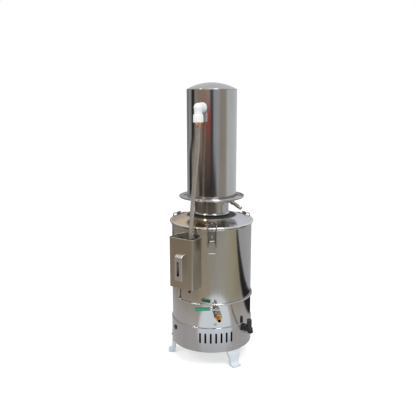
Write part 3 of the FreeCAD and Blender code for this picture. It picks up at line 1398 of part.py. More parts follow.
keep("cord_clamp_nut", around(cord_nut.translated(V(nut_x, 0, 0)), OUTLET_ANGLE))
locknut = hexagon(OUTLET_LOCKNUT_FLATS, lock_face - OUTLET_LOCKNUT, lock_face)
locknut = outward(locknut.cut(band(OUTLET_THREAD_R, 0, lock_face - 10, lock_face + 10)), z=OUTLET_Z)
keep("cord_outlet_locknut", around(locknut, OUTLET_ANGLE))

# ---------------------------------------------------------------- pilot lamp
lens_base = SKIRT_R + LAMP_BEZEL * 0.6
lamp_back = SKIRT_R - LAMP_BODY
lamp_body = turned(
    [
        (0, lamp_back),
        (LAMP_BODY_R, lamp_back),
        (LAMP_BODY_R, SKIRT_R - 1),
        (LAMP_BEZEL_R, SKIRT_R - 1),
        (LAMP_BEZEL_R, SKIRT_R + LAMP_BEZEL * 0.5),
        (LAMP_LENS_R + 0.4, SKIRT_R + LAMP_BEZEL),
        (LAMP_LENS_R, SKIRT_R + LAMP_BEZEL),
        (LAMP_LENS_R, lens_base - 1),
        (0, lens_base - 1),
    ]
)
skirt_wall = skirt_core.cut(around(outward(band(LAMP_BODY_R, 0, 0, SKIRT_R + 9), z=LAMP_Z), 90))
keep("lamp_body", around(outward(lamp_body, z=LAMP_Z).cut(skirt_wall), LAMP_ANGLE))
lens = turned(
    [
        (0, lens_base - 1),
        (LAMP_LENS_R, lens_base - 1),
        (LAMP_LENS_R, lens_base + 1),
        crown(LAMP_LENS_R, lens_base + 1, lens_base + LAMP_LENS_CROWN) + (0, lens_base + LAMP_LENS_CROWN),
    ]
)
keep("lamp_lens", around(outward(lens, z=LAMP_Z), LAMP_ANGLE))

# ---------------------------------------------------------------- heaters and terminal block
heaters, glands = [], []
pin_z = POT_FLOOR_Z - HEATER_PIN
for x0, x1 in HEATER_PAIRS:
    corners = [
        V(x0, HEATER_HALF, pin_z),
        V(x0, HEATER_HALF, HEATER_Z),
        V(x0, -HEATER_HALF, HEATER_Z),
        V(x1, -HEATER_HALF, HEATER_Z),
        V(x1, HEATER_HALF, HEATER_Z),
        V(x1, HEATER_HALF, pin_z),
    ]
    heaters.append(swept(rounded_path(corners, [HEATER_BEND_R] * 4), HEATER_R))
floor_top = POT_FLOOR_Z + SHEET
for x, y in heater_places:
    gland = fused(
        [
            band(GLAND_R, HEATER_R, POT_FLOOR_Z - GLAND_NUT - 2, floor_top),
            band(GLAND_FLANGE_R, HEATER_R, floor_top, floor_top + GLAND_FLANGE),
        ]
    )
    glands.append(gland.translated(V(x, y, 0)))
gland_nuts = [
    hexagon(GLAND_NUT_FLATS, POT_FLOOR_Z - GLAND_NUT, POT_FLOOR_Z)
    .cut(band(GLAND_R, 0, POT_FLOOR_Z - GLAND_NUT, POT_FLOOR_Z))
    .translated(V(x, y, 0))
    for x, y in heater_places
]
keep("heaters", *heaters)
keep("heater_glands", *glands)
keep("heater_nuts", *gland_nuts)
block_x, block_y, block_z = TERMINAL_SIZE
block_low = base_plate_z + PLATE
block = Part.makeBox(block_x, block_y, block_z, V(-block_x / 2, TERMINAL_Y - block_y / 2, block_low))
keep("terminal_block", block)

# ---------------------------------------------------------------- write the parts
middle = Part.makeCompound(list(NODES.values())).optimalBoundingBox(False, False).Center
POT_AXIS = V(round(-middle.x, 1), round(-middle.y, 1), 0)
print("pot axis", POT_AXIS)
os.makedirs("parts", exist_ok=True)
for name, shape in NODES.items():
    placed = shape.copy()
    placed.translate(POT_AXIS)
    placed.exportStep("parts/%s.step" % name)
print(len(NODES), "nodes")
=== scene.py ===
import math

import bmesh
import bpy
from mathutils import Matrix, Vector


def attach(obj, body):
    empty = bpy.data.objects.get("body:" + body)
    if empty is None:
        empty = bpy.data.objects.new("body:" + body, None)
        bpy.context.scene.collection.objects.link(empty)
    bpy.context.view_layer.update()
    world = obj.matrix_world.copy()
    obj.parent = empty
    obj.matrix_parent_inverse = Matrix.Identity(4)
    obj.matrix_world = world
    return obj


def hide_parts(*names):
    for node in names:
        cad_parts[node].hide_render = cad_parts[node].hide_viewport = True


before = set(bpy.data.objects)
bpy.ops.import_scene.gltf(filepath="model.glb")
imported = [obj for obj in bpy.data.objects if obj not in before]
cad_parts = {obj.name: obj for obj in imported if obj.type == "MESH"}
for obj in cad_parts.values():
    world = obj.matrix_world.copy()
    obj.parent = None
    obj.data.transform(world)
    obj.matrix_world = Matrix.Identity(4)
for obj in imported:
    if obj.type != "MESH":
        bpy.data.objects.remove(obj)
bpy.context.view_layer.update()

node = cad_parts


# -------------------------------------------------- camera
# Stands a metre and a half in front of the pot, a little to the left of the drain valve and just
# below the height of the tower's top, and looks slightly down.
def placed(name, data):
    """A new object in the scene that holds a mesh, curve, camera or lamp."""
    thing = bpy.data.objects.new(name, data)
    bpy.context.collection.objects.link(thing)
    return thing


POT_AXIS = Vector((0.0038, 0.0327, 0.0))
VIEW_TURN = math.radians(-6.0)
VIEW_TILT = math.radians(11.298)
VIEW_BACK, VIEW_ASIDE, VIEW_HEIGHT = 1.51184, 0.0106, 0.745
LENS_MM, SENSOR_MM = 46.11, 36.0

ahead = Vector((-math.sin(VIEW_TURN), math.cos(VIEW_TURN), 0.0))
rightward = Vector((ahead.y, -ahead.x, 0.0))
eye_level = Vector((0.0, 0.0, VIEW_HEIGHT))
camera = placed("camera", bpy.data.cameras.new("camera"))
camera.data.lens = LENS_MM
camera.data.sensor_width = SENSOR_MM
camera.location = POT_AXIS - ahead * VIEW_BACK - rightward * VIEW_ASIDE + eye_level
camera.rotation_euler = (math.radians(90.0) - VIEW_TILT, 0.0, VIEW_TURN)
bpy.context.scene.camera = camera


# -------------------------------------------------- clear hose
# Soft clear tube that carries the warm cooling water from the tower to the level box. It is
# pushed up into the union nut, hangs down beside the tower and goes through the box's grommet.
class Tone:
    """A value, colour or direction in a finish that sums can be written with."""

    def __init__(self, owner, socket):
        self.owner = owner
        self.socket = socket

    def worked(self, operation, first, second):
        return self.owner.add("ShaderNodeMath", {"operation": operation}, {0: first, 1: second})

    def through(self, operation, second=0.0):
        """This value put through a Math operation."""
        return self.worked(operation, self, second)

    def __add__(self, other):
        return self.worked("ADD", self, other)

    def __radd__(self, other):
        return self.worked("ADD", other, self)

    def __sub__(self, other):
        return self.worked("SUBTRACT", self, other)

    def __rsub__(self, other):
        return self.worked("SUBTRACT", other, self)

    def __mul__(self, other):
        return self.worked("MULTIPLY", self, other)

    def __rmul__(self, other):
        return self.worked("MULTIPLY", other, self)

    def __truediv__(self, other):
        return self.worked("DIVIDE", self, other)

    def __rtruediv__(self, other):
        return self.worked("DIVIDE", other, self)


class Nodes:
    """A node tree that is written one node at a time."""

    def add(self, kind, settings={}, values={}, out=0):
        """Adds a node and gives one of its outputs, by its number or its name, if it has any."""
        made = self.tree.nodes.new(kind)
        for name, value in settings.items():
            if name == "stops":
                ramp = made.color_ramp
                while len(ramp.elements) < len(value):
                    ramp.elements.new(0.5)
                for element, (position, colour) in zip(ramp.elements, value):
                    element.position = position
                    element.color = (*colour, 1.0)
            else:
                setattr(made, name, value)
        for name, value in values.items():
            if isinstance(name, int):
                socket = made.inputs[name]
            else:
                socket = next(s for s in made.inputs if s.name == name and s.enabled)
            if isinstance(value, Tone):
                self.tree.links.new(value.socket, socket)
            else:
                socket.default_value = value
        shown = [socket for socket in made.outputs if socket.enabled]
        if isinstance(out, str):
            out = [socket.name for socket in shown].index(out)
        return Tone(self, shown[out]) if shown else None


class Finish(Nodes):
    """A surface finish: the shader's plain numbers, and what varies over the surface."""

    def __init__(self, name, **plain):
        self.material = bpy.data.materials.new(name)
        self.material.use_nodes = True
        self.tree = self.material.node_tree
        self.shader = self.tree.nodes["Principled BSDF"]
        for socket, value in plain.items():
            self.shader.inputs[socket.replace("_", " ")].default_value = value

    def place(self):
        """The surface's own place in the frame, in metres."""
        return self.add("ShaderNodeTexCoord", out="Object")

    def stretched(self, scale):
        """The place with each direction scaled, so that a pattern can be drawn out along one."""
        return self.add("ShaderNodeMapping", {}, {"Vector": self.place(), "Scale": scale})

    def noise(self, scale, detail=2.0, place=None, rough=0.5):
        return self.add(
            "ShaderNodeTexNoise",
            {},
            {"Vector": place or self.place(), "Scale": scale, "Detail": detail, "Roughness": rough},
        )

    def between(self, share, one, other):
        """A mix of two colours, from the first at a share of 0 to the other at 1."""
        one, other = [c if isinstance(c, Tone) else (*c, 1.0) for c in (one, other)]
        values = {"Factor": share, "A": one, "B": other}
        return self.add("ShaderNodeMix", {"data_type": "RGBA"}, values)

    def bumped(self, height, depth, under=None):
        """Relief of a depth in metres, on top of another relief."""
        values = {"Height": height, "Distance": depth, "Strength": 1.0}
        if under:
            values["Normal"] = under
        return self.add("ShaderNodeBump", {}, values)

    def put(self, socket, tone):
        self.tree.links.new(tone.socket, self.shader.inputs[socket])


def mottled(name, dark, light, patches, rough, relief=0.0, grain=None, **plain):
    """A finish that drifts in patches from dark and smooth to light and dull.

    The patches and the grain are each a noise's scale and detail, and rough is the least and the
    most roughness. The relief, in metres, follows the grain, or the patches where none is given.
    """
    finish = Finish(name, **plain)
    drift = finish.noise(*patches)
    finish.put("Base Color", finish.between(drift, dark, light))
    finish.put("Roughness", rough[0] + drift * (rough[1] - rough[0]))
    if relief:
        height = finish.noise(*grain) if grain else drift
        finish.put("Normal", finish.bumped(height, relief))
    return finish


HOSE_R = 0.00575
HOSE_POINTS = (
    (-0.0421, -0.0573, 0.7042),
    (-0.0421, -0.0573, 0.6620),
    (-0.0449, -0.0567, 0.6120),
    (-0.0498, -0.0555, 0.5620),
    (-0.0548, -0.0568, 0.5140),
    (-0.0589, -0.0631, 0.4680),
    (-0.0624, -0.0733, 0.4310),
    (-0.0655, -0.0831, 0.4045),
    (-0.0655, -0.0831, 0.3735),
)

soft_tube = mottled(
    "clear_soft_tube", (0.40, 0.37, 0.32), (0.52, 0.49, 0.44), patches=(55.0, 3.0),
    rough=(0.26, 0.38), Transmission_Weight=0.6, IOR=1.42, Specular_IOR_Level=0.5,
    Coat_Weight=0.8, Coat_Roughness=0.08,
)
scale_marks = soft_tube.noise(420.0, 2.0, soft_tube.stretched((1.0, 1.0, 0.12)))
soft_tube.put("Normal", soft_tube.bumped(scale_marks, 0.00001))

hose_line = bpy.data.curves.new("clear_hose", "CURVE")
hose_line.dimensions = "3D"
hose_line.bevel_depth = HOSE_R
hose_line.bevel_resolution = 8
hose_line.resolution_u = 16
hose_line.use_fill_caps = True
spline = hose_line.splines.new("NURBS")
spline.points.add(len(HOSE_POINTS) - 1)
for control, place in zip(spline.points, HOSE_POINTS):
    control.co = (*place, 1.0)
spline.order_u = 3
spline.use_endpoint_u = True
hose_line.materials.append(soft_tube.material)
hose = placed("clear_hose_line", hose_line)
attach(hose, "distiller")
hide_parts("clear_hose")


# -------------------------------------------------- legs
# Three cast feet bolted inside the skirt, enamelled bluish white. The enamel drifts a little in
# tone in patches and is faintly orange-peeled.
def piece(name, mesh, finish, body="distiller", instead=()):
    """Puts a finished mesh in the scene on its body, in place of the frame's plain pieces."""
    mesh.materials.clear()
    mesh.materials.append(finish.material)
    thing = placed(name, mesh)
    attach(thing, body)
    if instead:
        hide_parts(*instead)
    return thing


def eased(name, finish, edge=0.0003, body="distiller", segments=2, crease=34.0):
    """A copy of a frame piece with its doubles merged and its sharp edges broken."""
    form = bmesh.new()
    form.from_mesh(node[name].data)
    bmesh.ops.remove_doubles(form, verts=form.verts, dist=0.000004)
    bmesh.ops.dissolve_limit(
        form, angle_limit=math.radians(0.6), verts=form.verts, edges=form.edges, delimit={"NORMAL"}
    )
    mesh = bpy.data.meshes.new(name + "_eased")
    form.to_mesh(mesh)
    form.free()
    stale = mesh.attributes.get("custom_normal")
    if stale:
        mesh.attributes.remove(stale)
    mesh.shade_smooth()
    mesh.set_sharp_from_angle(angle=math.radians(crease))
    thing = piece(name + "_eased", mesh, finish, body, (name,))
    bevel = thing.modifiers.new("broken edges", "BEVEL")
    bevel.width = edge
    bevel.segments = segments
    bevel.limit_method = "ANGLE"
    bevel.angle_limit = math.radians(crease)
    bevel.harden_normals = True
    bevel.use_clamp_overlap = True


enamel = mottled(
    "bluish_white_enamel", (0.76, 0.84, 0.92), (0.86, 0.91, 0.96), patches=(38.0, 3.0),
    rough=(0.24, 0.38), relief=0.00006, grain=(480.0, 2.0), IOR=1.5, Coat_Weight=0.35,
    Coat_Roughness=0.12,
)
for name in ("leg_front", "leg_rear", "leg_left"):
    eased(name, enamel, edge=0.0012, segments=3)


# -------------------------------------------------- screws, nuts, rivets and pins
# Plated, barrel-polished small parts: two cross-head screws with nuts to each leg, two screws in
# the pot's wall, the upper one dark, and a pair of flat rivets and a hinge pin to each latch.
def dress(names, finish):
    """Gives the frame's own pieces a finish."""
    for name in names:
        node[name].data.materials.clear()
        node[name].data.materials.append(finish.material)


bright = mottled(
    "bright_small_steel", (0.50, 0.49, 0.47), (0.66, 0.65, 0.63), patches=(260.0, 3.0),
    rough=(0.16, 0.32), relief=0.00002, grain=(900.0, 2.0), Metallic=1.0,
)
dress(("leg_nuts", "latch_pins"), bright)


class Recipe(Nodes):
    """A geometry tree that takes a mesh and named sizes and gives back a mesh of one finish."""

    def __init__(self, name, **sizes):
        self.tree = bpy.data.node_groups.new(name, "GeometryNodeTree")
        door = self.tree.interface
        door.new_socket("Geometry", in_out="INPUT", socket_type="NodeSocketGeometry")
        for size, kind in sizes.items():
            door.new_socket(size, in_out="INPUT", socket_type="NodeSocket" + kind)
        door.new_socket("Material", in_out="INPUT", socket_type="NodeSocketMaterial")
        door.new_socket("Geometry", in_out="OUTPUT", socket_type="NodeSocketGeometry")
        self.given = self.add("NodeGroupInput").socket.node

    def size(self, name):
        return Tone(self, self.given.outputs[name])

    def ends(self, geometry):
        """Makes the tree's last steps: real geometry, merged doubles and the finish."""
        real = self.add("GeometryNodeRealizeInstances", {}, {"Geometry": geometry})
        values = {"Geometry": real, "Distance": 0.000002}
        closed = self.add("GeometryNodeMergeByDistance", {}, values)
        values = {"Geometry": closed, "Material": self.size("Material")}
        coated = self.add("GeometryNodeSetMaterial", {}, values)
        self.add("NodeGroupOutput", {}, {"Geometry": coated})

    def made(self, start, finish, **sizes):
        """The mesh that the tree makes from a starting mesh."""
        thing = placed("start", start)
        step = thing.modifiers.new("recipe", "NODES")
        step.node_group = self.tree
        sizes["Material"] = finish.material
        for item in self.tree.interface.items_tree:
            if item.in_out == "INPUT" and item.name in sizes:
                step[item.identifier] = sizes[item.name]
        seen = thing.evaluated_get(bpy.context.evaluated_depsgraph_get())
        mesh = bpy.data.meshes.new_from_object(seen)
        bpy.data.objects.remove(thing)
        return mesh


# heads round the pot's axis, in pairs: a pair starts a pitch after the last, its twin stands off
# from it, and each head leans out from upright
ringed = Recipe(
    "set_in_a_ring",
    Count="Int",
    First="Float",
    Pitch="Float",
    Twin="Float",
    Radius="Float",
    Height="Float",
    Lean="Float",
)
index = ringed.add("GeometryNodeInputIndex")
odd = index.through("MODULO", 2.0)
pair_turn = (index - odd) * 0.5 * ringed.size("Pitch")
heading = ringed.size("First") + pair_turn + odd * ringed.size("Twin")
ring_spot = ringed.add(
    "ShaderNodeCombineXYZ",
    {},
    {
        "X": POT_AXIS.x + ringed.size("Radius") * heading.through("SINE"),
        "Y": POT_AXIS.y - ringed.size("Radius") * heading.through("COSINE"),
        "Z": ringed.size("Height"),
    },
)
facing = ringed.add(
    "ShaderNodeCombineXYZ", {}, {"Y": ringed.size("Lean"), "Z": heading - math.pi / 2}
)
ring_points = ringed.add(
    "GeometryNodePoints", {}, {"Count": ringed.size("Count"), "Position": ring_spot}
)
ringed.ends(
    ringed.add(
        "GeometryNodeInstanceOnPoints",
        {},
        {
            "Points": ring_points,
            "Instance": ringed.size("Geometry"),
            "Rotation": ringed.add("FunctionNodeEulerToRotation", {}, {"Euler": facing}),
        },
    )
)
ON_WALL = math.pi / 2  # the lean of a head on an upright wall


def smoothed(mesh, crease=32.0):
    """Merges the mesh's doubles, turns its faces outwards and shades it smooth but for edges."""
    form = bmesh.new()
    form.from_mesh(mesh)
    bmesh.ops.remove_doubles(form, verts=form.verts, dist=0.000001)
    bmesh.ops.recalc_face_normals(form, faces=form.faces)
    form.to_mesh(mesh)
    form.free()
    mesh.shade_smooth()
    mesh.set_sharp_from_angle(angle=math.radians(crease))
    return mesh


def turned(form, profile, steps, axis=(0.0, 0.0)):
    """Rings of points turned from (radius, height) pairs, with the faces between them."""
    angles = [2 * math.pi * i / steps for i in range(steps)]
    rings = [
        [
            form.verts.new((axis[0] + radius * math.cos(t), axis[1] + radius * math.sin(t), height))
            for t in angles
        ]
        for radius, height in profile
    ]
    for low, high in zip(rings, rings[1:]):
        for i in range(steps):
            after = (i + 1) % steps
            form.faces.new((low[i], low[after], high[after], high[i]))
    return rings


def turns(*degrees):
    """Angles in radians."""
    return [math.radians(angle) for angle in degrees]


HEAD_STEPS = 28
RIM_SHARE = 0.35  # how much of a head's height its upright rim takes


def head_mesh(radius, rise, shank, recess=0.0):
    """A domed head along +Z with its shank below, and a cross recess where it is a screw."""
    rim = rise * RIM_SHARE
    profile = [(shank, -0.0006), (radius - 0.0002, 0.0), (radius, 0.0003), (radius, rim)]
    for slope in turns(20, 40, 60, 78):
        dome = RIM_SHARE + (1 - RIM_SHARE) * math.sin(slope)
        profile.append((radius * math.cos(slope), rise * dome))
    form = bmesh.new()
    rings = turned(form, profile, HEAD_STEPS)
    form.faces.new(rings[-1])
    form.faces.new(rings[0][::-1])
    mesh = bpy.data.meshes.new("head")
    form.to_mesh(mesh)
    form.free()
    if not recess:
        return smoothed(mesh)
    cutter = bmesh.new()
    slot = recess * 0.3
    for length, width in ((recess, slot), (slot, recess)):
        block = bmesh.ops.create_cube(cutter, size=1.0)["verts"]
        bmesh.ops.scale(cutter, vec=(length, width, rise), verts=block)
        bmesh.ops.translate(cutter, vec=(0.0, 0.0, rise * 1.05), verts=block)
    cross = bpy.data.meshes.new("cross")
    cutter.to_mesh(cross)
    cutter.free()
    head = placed("head", mesh)
    tool = placed("cross", cross)
    cut = head.modifiers.new("cross recess", "BOOLEAN")
    cut.operation = "DIFFERENCE"
    cut.object = tool
    cut.use_self = True
    seen = head.evaluated_get(bpy.context.evaluated_depsgraph_get())
    result = bpy.data.meshes.new_from_object(seen)
    bpy.data.objects.remove(head)
    bpy.data.objects.remove(tool)
    return smoothed(result)


def joined(name, meshes):
    """One mesh of several."""
    form = bmesh.new()
    for mesh in meshes:
        form.from_mesh(mesh)
    whole = bpy.data.meshes.new(name)
    form.to_mesh(whole)
    form.free()
    whole.shade_smooth()
    whole.set_sharp_from_angle(angle=math.radians(32.0))
    return whole


SKIRT_R = 0.1183
LEG_SCREW_HEIGHT = 0.060
LEG_SCREW_SWING = math.radians(5.823)
leg_heads = [
    ringed.made(
        head_mesh(radius=0.0038, rise=0.0024, shank=0.002, recess=0.0042),
        bright,
        Count=2,
        First=leg - LEG_SCREW_SWING,
        Twin=2 * LEG_SCREW_SWING,
        Radius=SKIRT_R,
        Height=LEG_SCREW_HEIGHT,
        Lean=ON_WALL,
    )
    for leg in turns(28.0, 148.0, -96.0)
]
piece("leg_screw_heads", joined("leg_screw_heads", leg_heads), bright, instead=("leg_screws",))

POT_R = 0.116
# the upper wall screw, just below the box, is given a dark colour
dark_screw = mottled(
    "dark_screw_steel", (0.05, 0.05, 0.055), (0.12, 0.12, 0.13), patches=(300.0, 3.0),
    rough=(0.28, 0.48), Metallic=1.0,
)
for name, angle, height, finish, replaced in (
    ("wall_screw_upper", -38.3, 0.2235, dark_screw, ("wall_screws",)),
    ("wall_screw_lower", -1.0, 0.134, bright, ()),
):
    wall_head = ringed.made(
        head_mesh(radius=0.0039, rise=0.0022, shank=0.002, recess=0.0042),
        finish,
        Count=1,
        First=math.radians(angle),
        Radius=POT_R,
        Height=height,
        Lean=ON_WALL,
    )
    piece(name, joined(name, [wall_head]), finish, instead=replaced)

# the rivets of the latch bases on the pot's wall, and of the hooks on the lid's slope
LATCH_FIRST, LATCH_PITCH = turns(-126.0, 120.0)
HOOK_LEAN = math.radians(17.0)
rivet_rings = [
    ringed.made(
        head_mesh(radius=0.0032, rise=0.0015, shank=0.0016),
        bright,
        Count=3,
        First=LATCH_FIRST,
        Pitch=2 * LATCH_PITCH,
        Twin=LATCH_PITCH,
        Radius=radius,
        Height=height,
        Lean=lean,
    )
    for radius, height, lean in ((0.1175, 0.3875, ON_WALL), (0.0975, 0.4204, HOOK_LEAN))
]
rivet_heads = joined("latch_rivet_heads", rivet_rings)
piece("latch_rivet_heads", rivet_heads, bright, instead=("latch_rivets",))


# -------------------------------------------------- skirt, base plate and support ring
# The skirt is rolled sheet with a row of slots in front; a zinc-plated plate closes it from below
# and an angle ring inside it carries the pot.
def sheet_steel(name, colour, roughness, grain, ripple):
    """Rolled stainless sheet: fine upright polishing lines, faint smears and a slight waviness."""
    finish = Finish(name, Metallic=1.0)
    lines = finish.noise(1.0, 3.0, finish.stretched((900.0, 900.0, 14.0)), rough=0.6)
    smear = finish.noise(1.0, 4.0, finish.stretched((34.0, 34.0, 10.0)), rough=0.62)
    wave = finish.noise(1.0, 1.0, finish.stretched((13.0, 13.0, 7.0)))
    darker = tuple(c * 0.78 for c in colour)
    lighter = tuple(c * 1.15 for c in colour)
    finish.put("Base Color", finish.between(smear * 0.7 + lines * 0.3, darker, lighter))
    finish.put("Roughness", roughness + (smear - 0.5) * 0.10 + (lines - 0.5) * 0.06)
    finish.put("Normal", finish.bumped(lines, grain, finish.bumped(wave, ripple)))
    return finish


skirt_steel = sheet_steel(
    "skirt_sheet_steel", (0.56, 0.545, 0.53), roughness=0.12, grain=0.0000035, ripple=0.0012
)
dress(("base_skirt", "pot_support_ring"), skirt_steel)

zinc = mottled(
    "zinc_plated_plate", (0.45, 0.46, 0.46), (0.60, 0.61, 0.60), patches=(30.0, 2.0),
    rough=(0.34, 0.52), relief=0.00003, grain=(300.0, 2.0), Metallic=0.9,
)
dress(("base_plate",), zinc)


# -------------------------------------------------- pot
# Deep vessel of polished stainless sheet with a rolled rim. A moulded black rubber ring seals the
# lid on it; the same rubber lines the hole of the level box that the hose goes through.
pot_steel = sheet_steel(
    "pot_sheet_steel", (0.60, 0.575, 0.54), roughness=0.11, grain=0.0000035, ripple=0.0007
)
dress(("pot",), pot_steel)

rubber = mottled(
    "gasket_rubber", (0.035, 0.036, 0.038), (0.075, 0.075, 0.078), patches=(160.0, 3.0),
    rough=(0.55, 0.80), relief=0.00004, IOR=1.45,
)
dress(("lid_gasket", "hose_grommet"), rubber)


# -------------------------------------------------- lid, neck, tray and tower
# Spun lid with the neck welded in, a spun tray on the neck, and the condenser's polished shell
# with its pressed crown. The lid's colour carries a painted dark reflection in a ring round the
# neck, a painted warm reflection on its left side and a painted highlight on its rolled rim.
def ramped(card, value, low, high):
    """Rises smoothly from 0 to 1 as the value goes from low to high."""
    return card.add(
        "ShaderNodeMapRange",
        {"interpolation_type": "SMOOTHSTEP"},
        {"Value": value, "From Min": low, "From Max": high},
    )


def off_axis(card):
    """How far a point lies from the pot's axis along X and along Y, and its height."""
    spot = card.place()
    x, y, up = [card.add("ShaderNodeSeparateXYZ", {}, {"Vector": spot}, i) for i in range(3)]
    return x - POT_AXIS.x, y - POT_AXIS.y, up


# radii and reaches of the painted reflections and the painted highlight on the lid
DARK_REFLECTION_FULL, DARK_REFLECTION_GONE = 0.068, 0.076  # radii that the darkened ring fades between
RIM_HIGHLIGHT_START, RIM_HIGHLIGHT_FULL = 0.1165, 0.1180  # radii that the painted highlight on the rolled rim grows between
WARM_REFLECTION_FULL, WARM_REFLECTION_GONE = -0.078, 0.032  # how far to the right the straw tint reaches

mirror_steel = sheet_steel(
    "mirror_sheet_steel", (0.60, 0.59, 0.575), roughness=0.12, grain=0.000002, ripple=0.0003
)
lid_steel = Finish("spun_lid_steel", Specular_IOR_Level=0.0)
lid_x, lid_y = off_axis(lid_steel)[:2]
from_axis = (lid_x * lid_x + lid_y * lid_y).through("SQRT")
swirl = lid_steel.noise(1.0, 3.0, lid_steel.stretched((60.0, 60.0, 60.0)))
turning = (from_axis * 9000.0 + swirl * 6.0).through("SINE")
# painted dark reflection: a ring round the neck, its edge warped by the swirl
dark_reflection_edge = from_axis + (swirl - 0.5) * 0.006
dark_reflection = 1.0 - ramped(lid_steel, dark_reflection_edge, DARK_REFLECTION_FULL, DARK_REFLECTION_GONE)
# painted reflection: a warm straw colour over the lid's left side, fading out towards its right
warm_reflection_edge = lid_x + lid_y * 0.3 + (swirl - 0.5) * 0.06
straw = 1.0 - ramped(lid_steel, warm_reflection_edge, WARM_REFLECTION_FULL, WARM_REFLECTION_GONE)
lid_colour = lid_steel.between(straw, (0.70, 0.70, 0.71), (0.72, 0.58, 0.42))
# painted highlight: the rolled rim's colour is made paler
rim_highlight = ramped(lid_steel, from_axis, RIM_HIGHLIGHT_START, RIM_HIGHLIGHT_FULL)
lid_colour = lid_steel.between(rim_highlight, lid_colour, (0.90, 0.88, 0.84))
# the painted dark reflection darkens the base colour and takes away most of the metal
lid_steel.put("Base Color", lid_steel.between(dark_reflection * 0.96, lid_colour, (0.045, 0.045, 0.042)))
lid_steel.put("Metallic", 1.0 - dark_reflection * 0.80)
lid_steel.put("Roughness", 0.14 + swirl * 0.08)
lid_steel.put("Normal", lid_steel.bumped(turning, 0.000002))

# a section turned round the pot's axis
spun = Recipe("turned_from_section", Steps="Int", Bore="Float")
spun_section = spun.add("GeometryNodeMeshToCurve", {}, {"Mesh": spun.size("Geometry")})
spun_ring = spun.add(
    "GeometryNodeCurvePrimitiveCircle",
    {},
    {"Resolution": spun.size("Steps"), "Radius": spun.size("Bore")},
)
spun_skin = spun.add(
    "GeometryNodeCurveToMesh", {}, {"Curve": spun_ring, "Profile Curve": spun_section}
)
spun.ends(spun.add("GeometryNodeTransform", {}, {"Geometry": spun_skin, "Translation": POT_AXIS}))
TURNING_R = 1.0  # the sections are drawn from a circle of this radius
TURNING_STEPS = 224
FILLET_FACET = 12  # degrees of a fillet that one facet takes


def rounded(corners):
    """Points of a section from corners in millimetres: radius, height and sometimes a fillet."""
    points = []
    for i, corner in enumerate(corners):
        here = Vector(corner[:2])
        if len(corner) == 2:
            points.append(here)
            continue
        fillet = corner[2]
        back = (Vector(corners[i - 1][:2]) - here).normalized()
        on = (Vector(corners[(i + 1) % len(corners)][:2]) - here).normalized()
        half = back.angle(on) / 2
        middle = here + (back + on).normalized() * (fillet / math.sin(half))
        start = here + back * (fillet / math.tan(half)) - middle
        end = here + on * (fillet / math.tan(half)) - middle
        steps = max(3, round(math.degrees(math.pi - 2 * half) / FILLET_FACET))
        for step in range(steps + 1):
            points.append(middle + start.slerp(end, step / steps).normalized() * fillet)
    return points


def bowed(start, end, bulge, steps=24):
    """Points of a shallow bow from one corner to another, without the two ends."""
    start, end = Vector(start), Vector(end)
    across = (end - start).normalized()
    outward = Vector((abs(across.y), abs(across.x)))
    shares = [step / steps for step in range(1, steps)]
    return [tuple(start.lerp(end, t) + outward * (4 * t * (1 - t) * bulge)) for t in shares]


def spin(name, corners, finish, instead):
    """A piece turned from a closed section."""
    rows = [(p.x / 1000 - TURNING_R, -p.y / 1000, 0.0) for p in rounded(corners)]
    links = [(i, (i + 1) % len(rows)) for i in range(len(rows))]
    section = bpy.data.meshes.new(name + "_section")
    section.from_pydata(rows, links, [])
    mesh = spun.made(section, finish, Steps=TURNING_STEPS, Bore=TURNING_R)
    piece(name, smoothed(mesh, crease=30.0), finish, instead=instead)


# lid: a rolled rim, a shallow dome and the hole for the neck
SHEET_MM = 1.0
slope_top = bowed((115.0, 412.5), (49.0, 427.0), bulge=3.0)
slope_under = [(r, z - SHEET_MM) for r, z in reversed(slope_top)]
rim_top = [
    (112.0, 406.5), (121.5, 406.5, 2.9), (121.5, 412.6, 2.9), (116.6, 412.2, 0.6),
    (115.0, 412.4, 0.8),
]
rim_under = [(114.4, 411.4), (120.4, 411.4, 1.8), (120.4, 407.5, 1.8), (112.0, 407.5)]
neck_hole = [(49.0, 427.0), (49.0, 426.0)]
spin("spun_lid", rim_top + slope_top + neck_hole + slope_under + rim_under, lid_steel, ("lid",))

# neck, with the bead where it is welded into the lid
neck_foot = [(49.0, 423.0), (49.0, 427.4, 0.5)]
neck_bead = bowed((49.0, 427.5), (49.0, 435.5), bulge=2.6, steps=14)
neck_wall = [
    (49.0, 435.6, 0.5), (49.0, 437.0), (49.0, 475.0), (49.0, 501.5), (48.0, 501.5), (48.0, 423.0),
]
spin("steam_neck", neck_foot + neck_bead + neck_wall, mirror_steel, ("steam_riser",))

# tray, with its thick rolled lip and the weld of the shell on it
tray = [
    (49.0, 476.5), (88.0, 476.5), (93.4, 476.5, 4.2), (93.4, 482.5, 1.5), (90.4, 482.5, 1.45),
    (90.4, 477.5, 2.0), (72.0, 477.5), (71.2, 477.8, 0.4), (70.3, 479.4, 0.4), (69.5, 479.4),
    (69.5, 477.5), (49.0, 477.5),
]
spin("spun_tray", tray, mirror_steel, ("collar_tray",))

# shell, with a fine raised seam under the cap
shell = [
    (70.0, 477.5), (70.0, 480.0), (70.0, 500.0), (70.0, 760.0), (70.0, 776.2),
    (70.35, 776.8, 0.3), (70.35, 777.6, 0.3), (70.0, 777.9), (69.0, 777.9), (69.0, 477.5),
]
spin("tower_shell", shell, mirror_steel, ("condenser_shell",))

# cap: a ball's crown on a short rounded edge
CAP_EDGE_R, CAP_EDGE_Z, CAP_TOP_Z, CAP_STEPS = 69.0, 778.9, 797.0, 22
CAP_BALL_R = (CAP_EDGE_R**2 + (CAP_TOP_Z - CAP_EDGE_Z) ** 2) / (2 * (CAP_TOP_Z - CAP_EDGE_Z))


def cap_height(radius):
    return CAP_TOP_Z - CAP_BALL_R + math.sqrt(CAP_BALL_R**2 - radius**2)


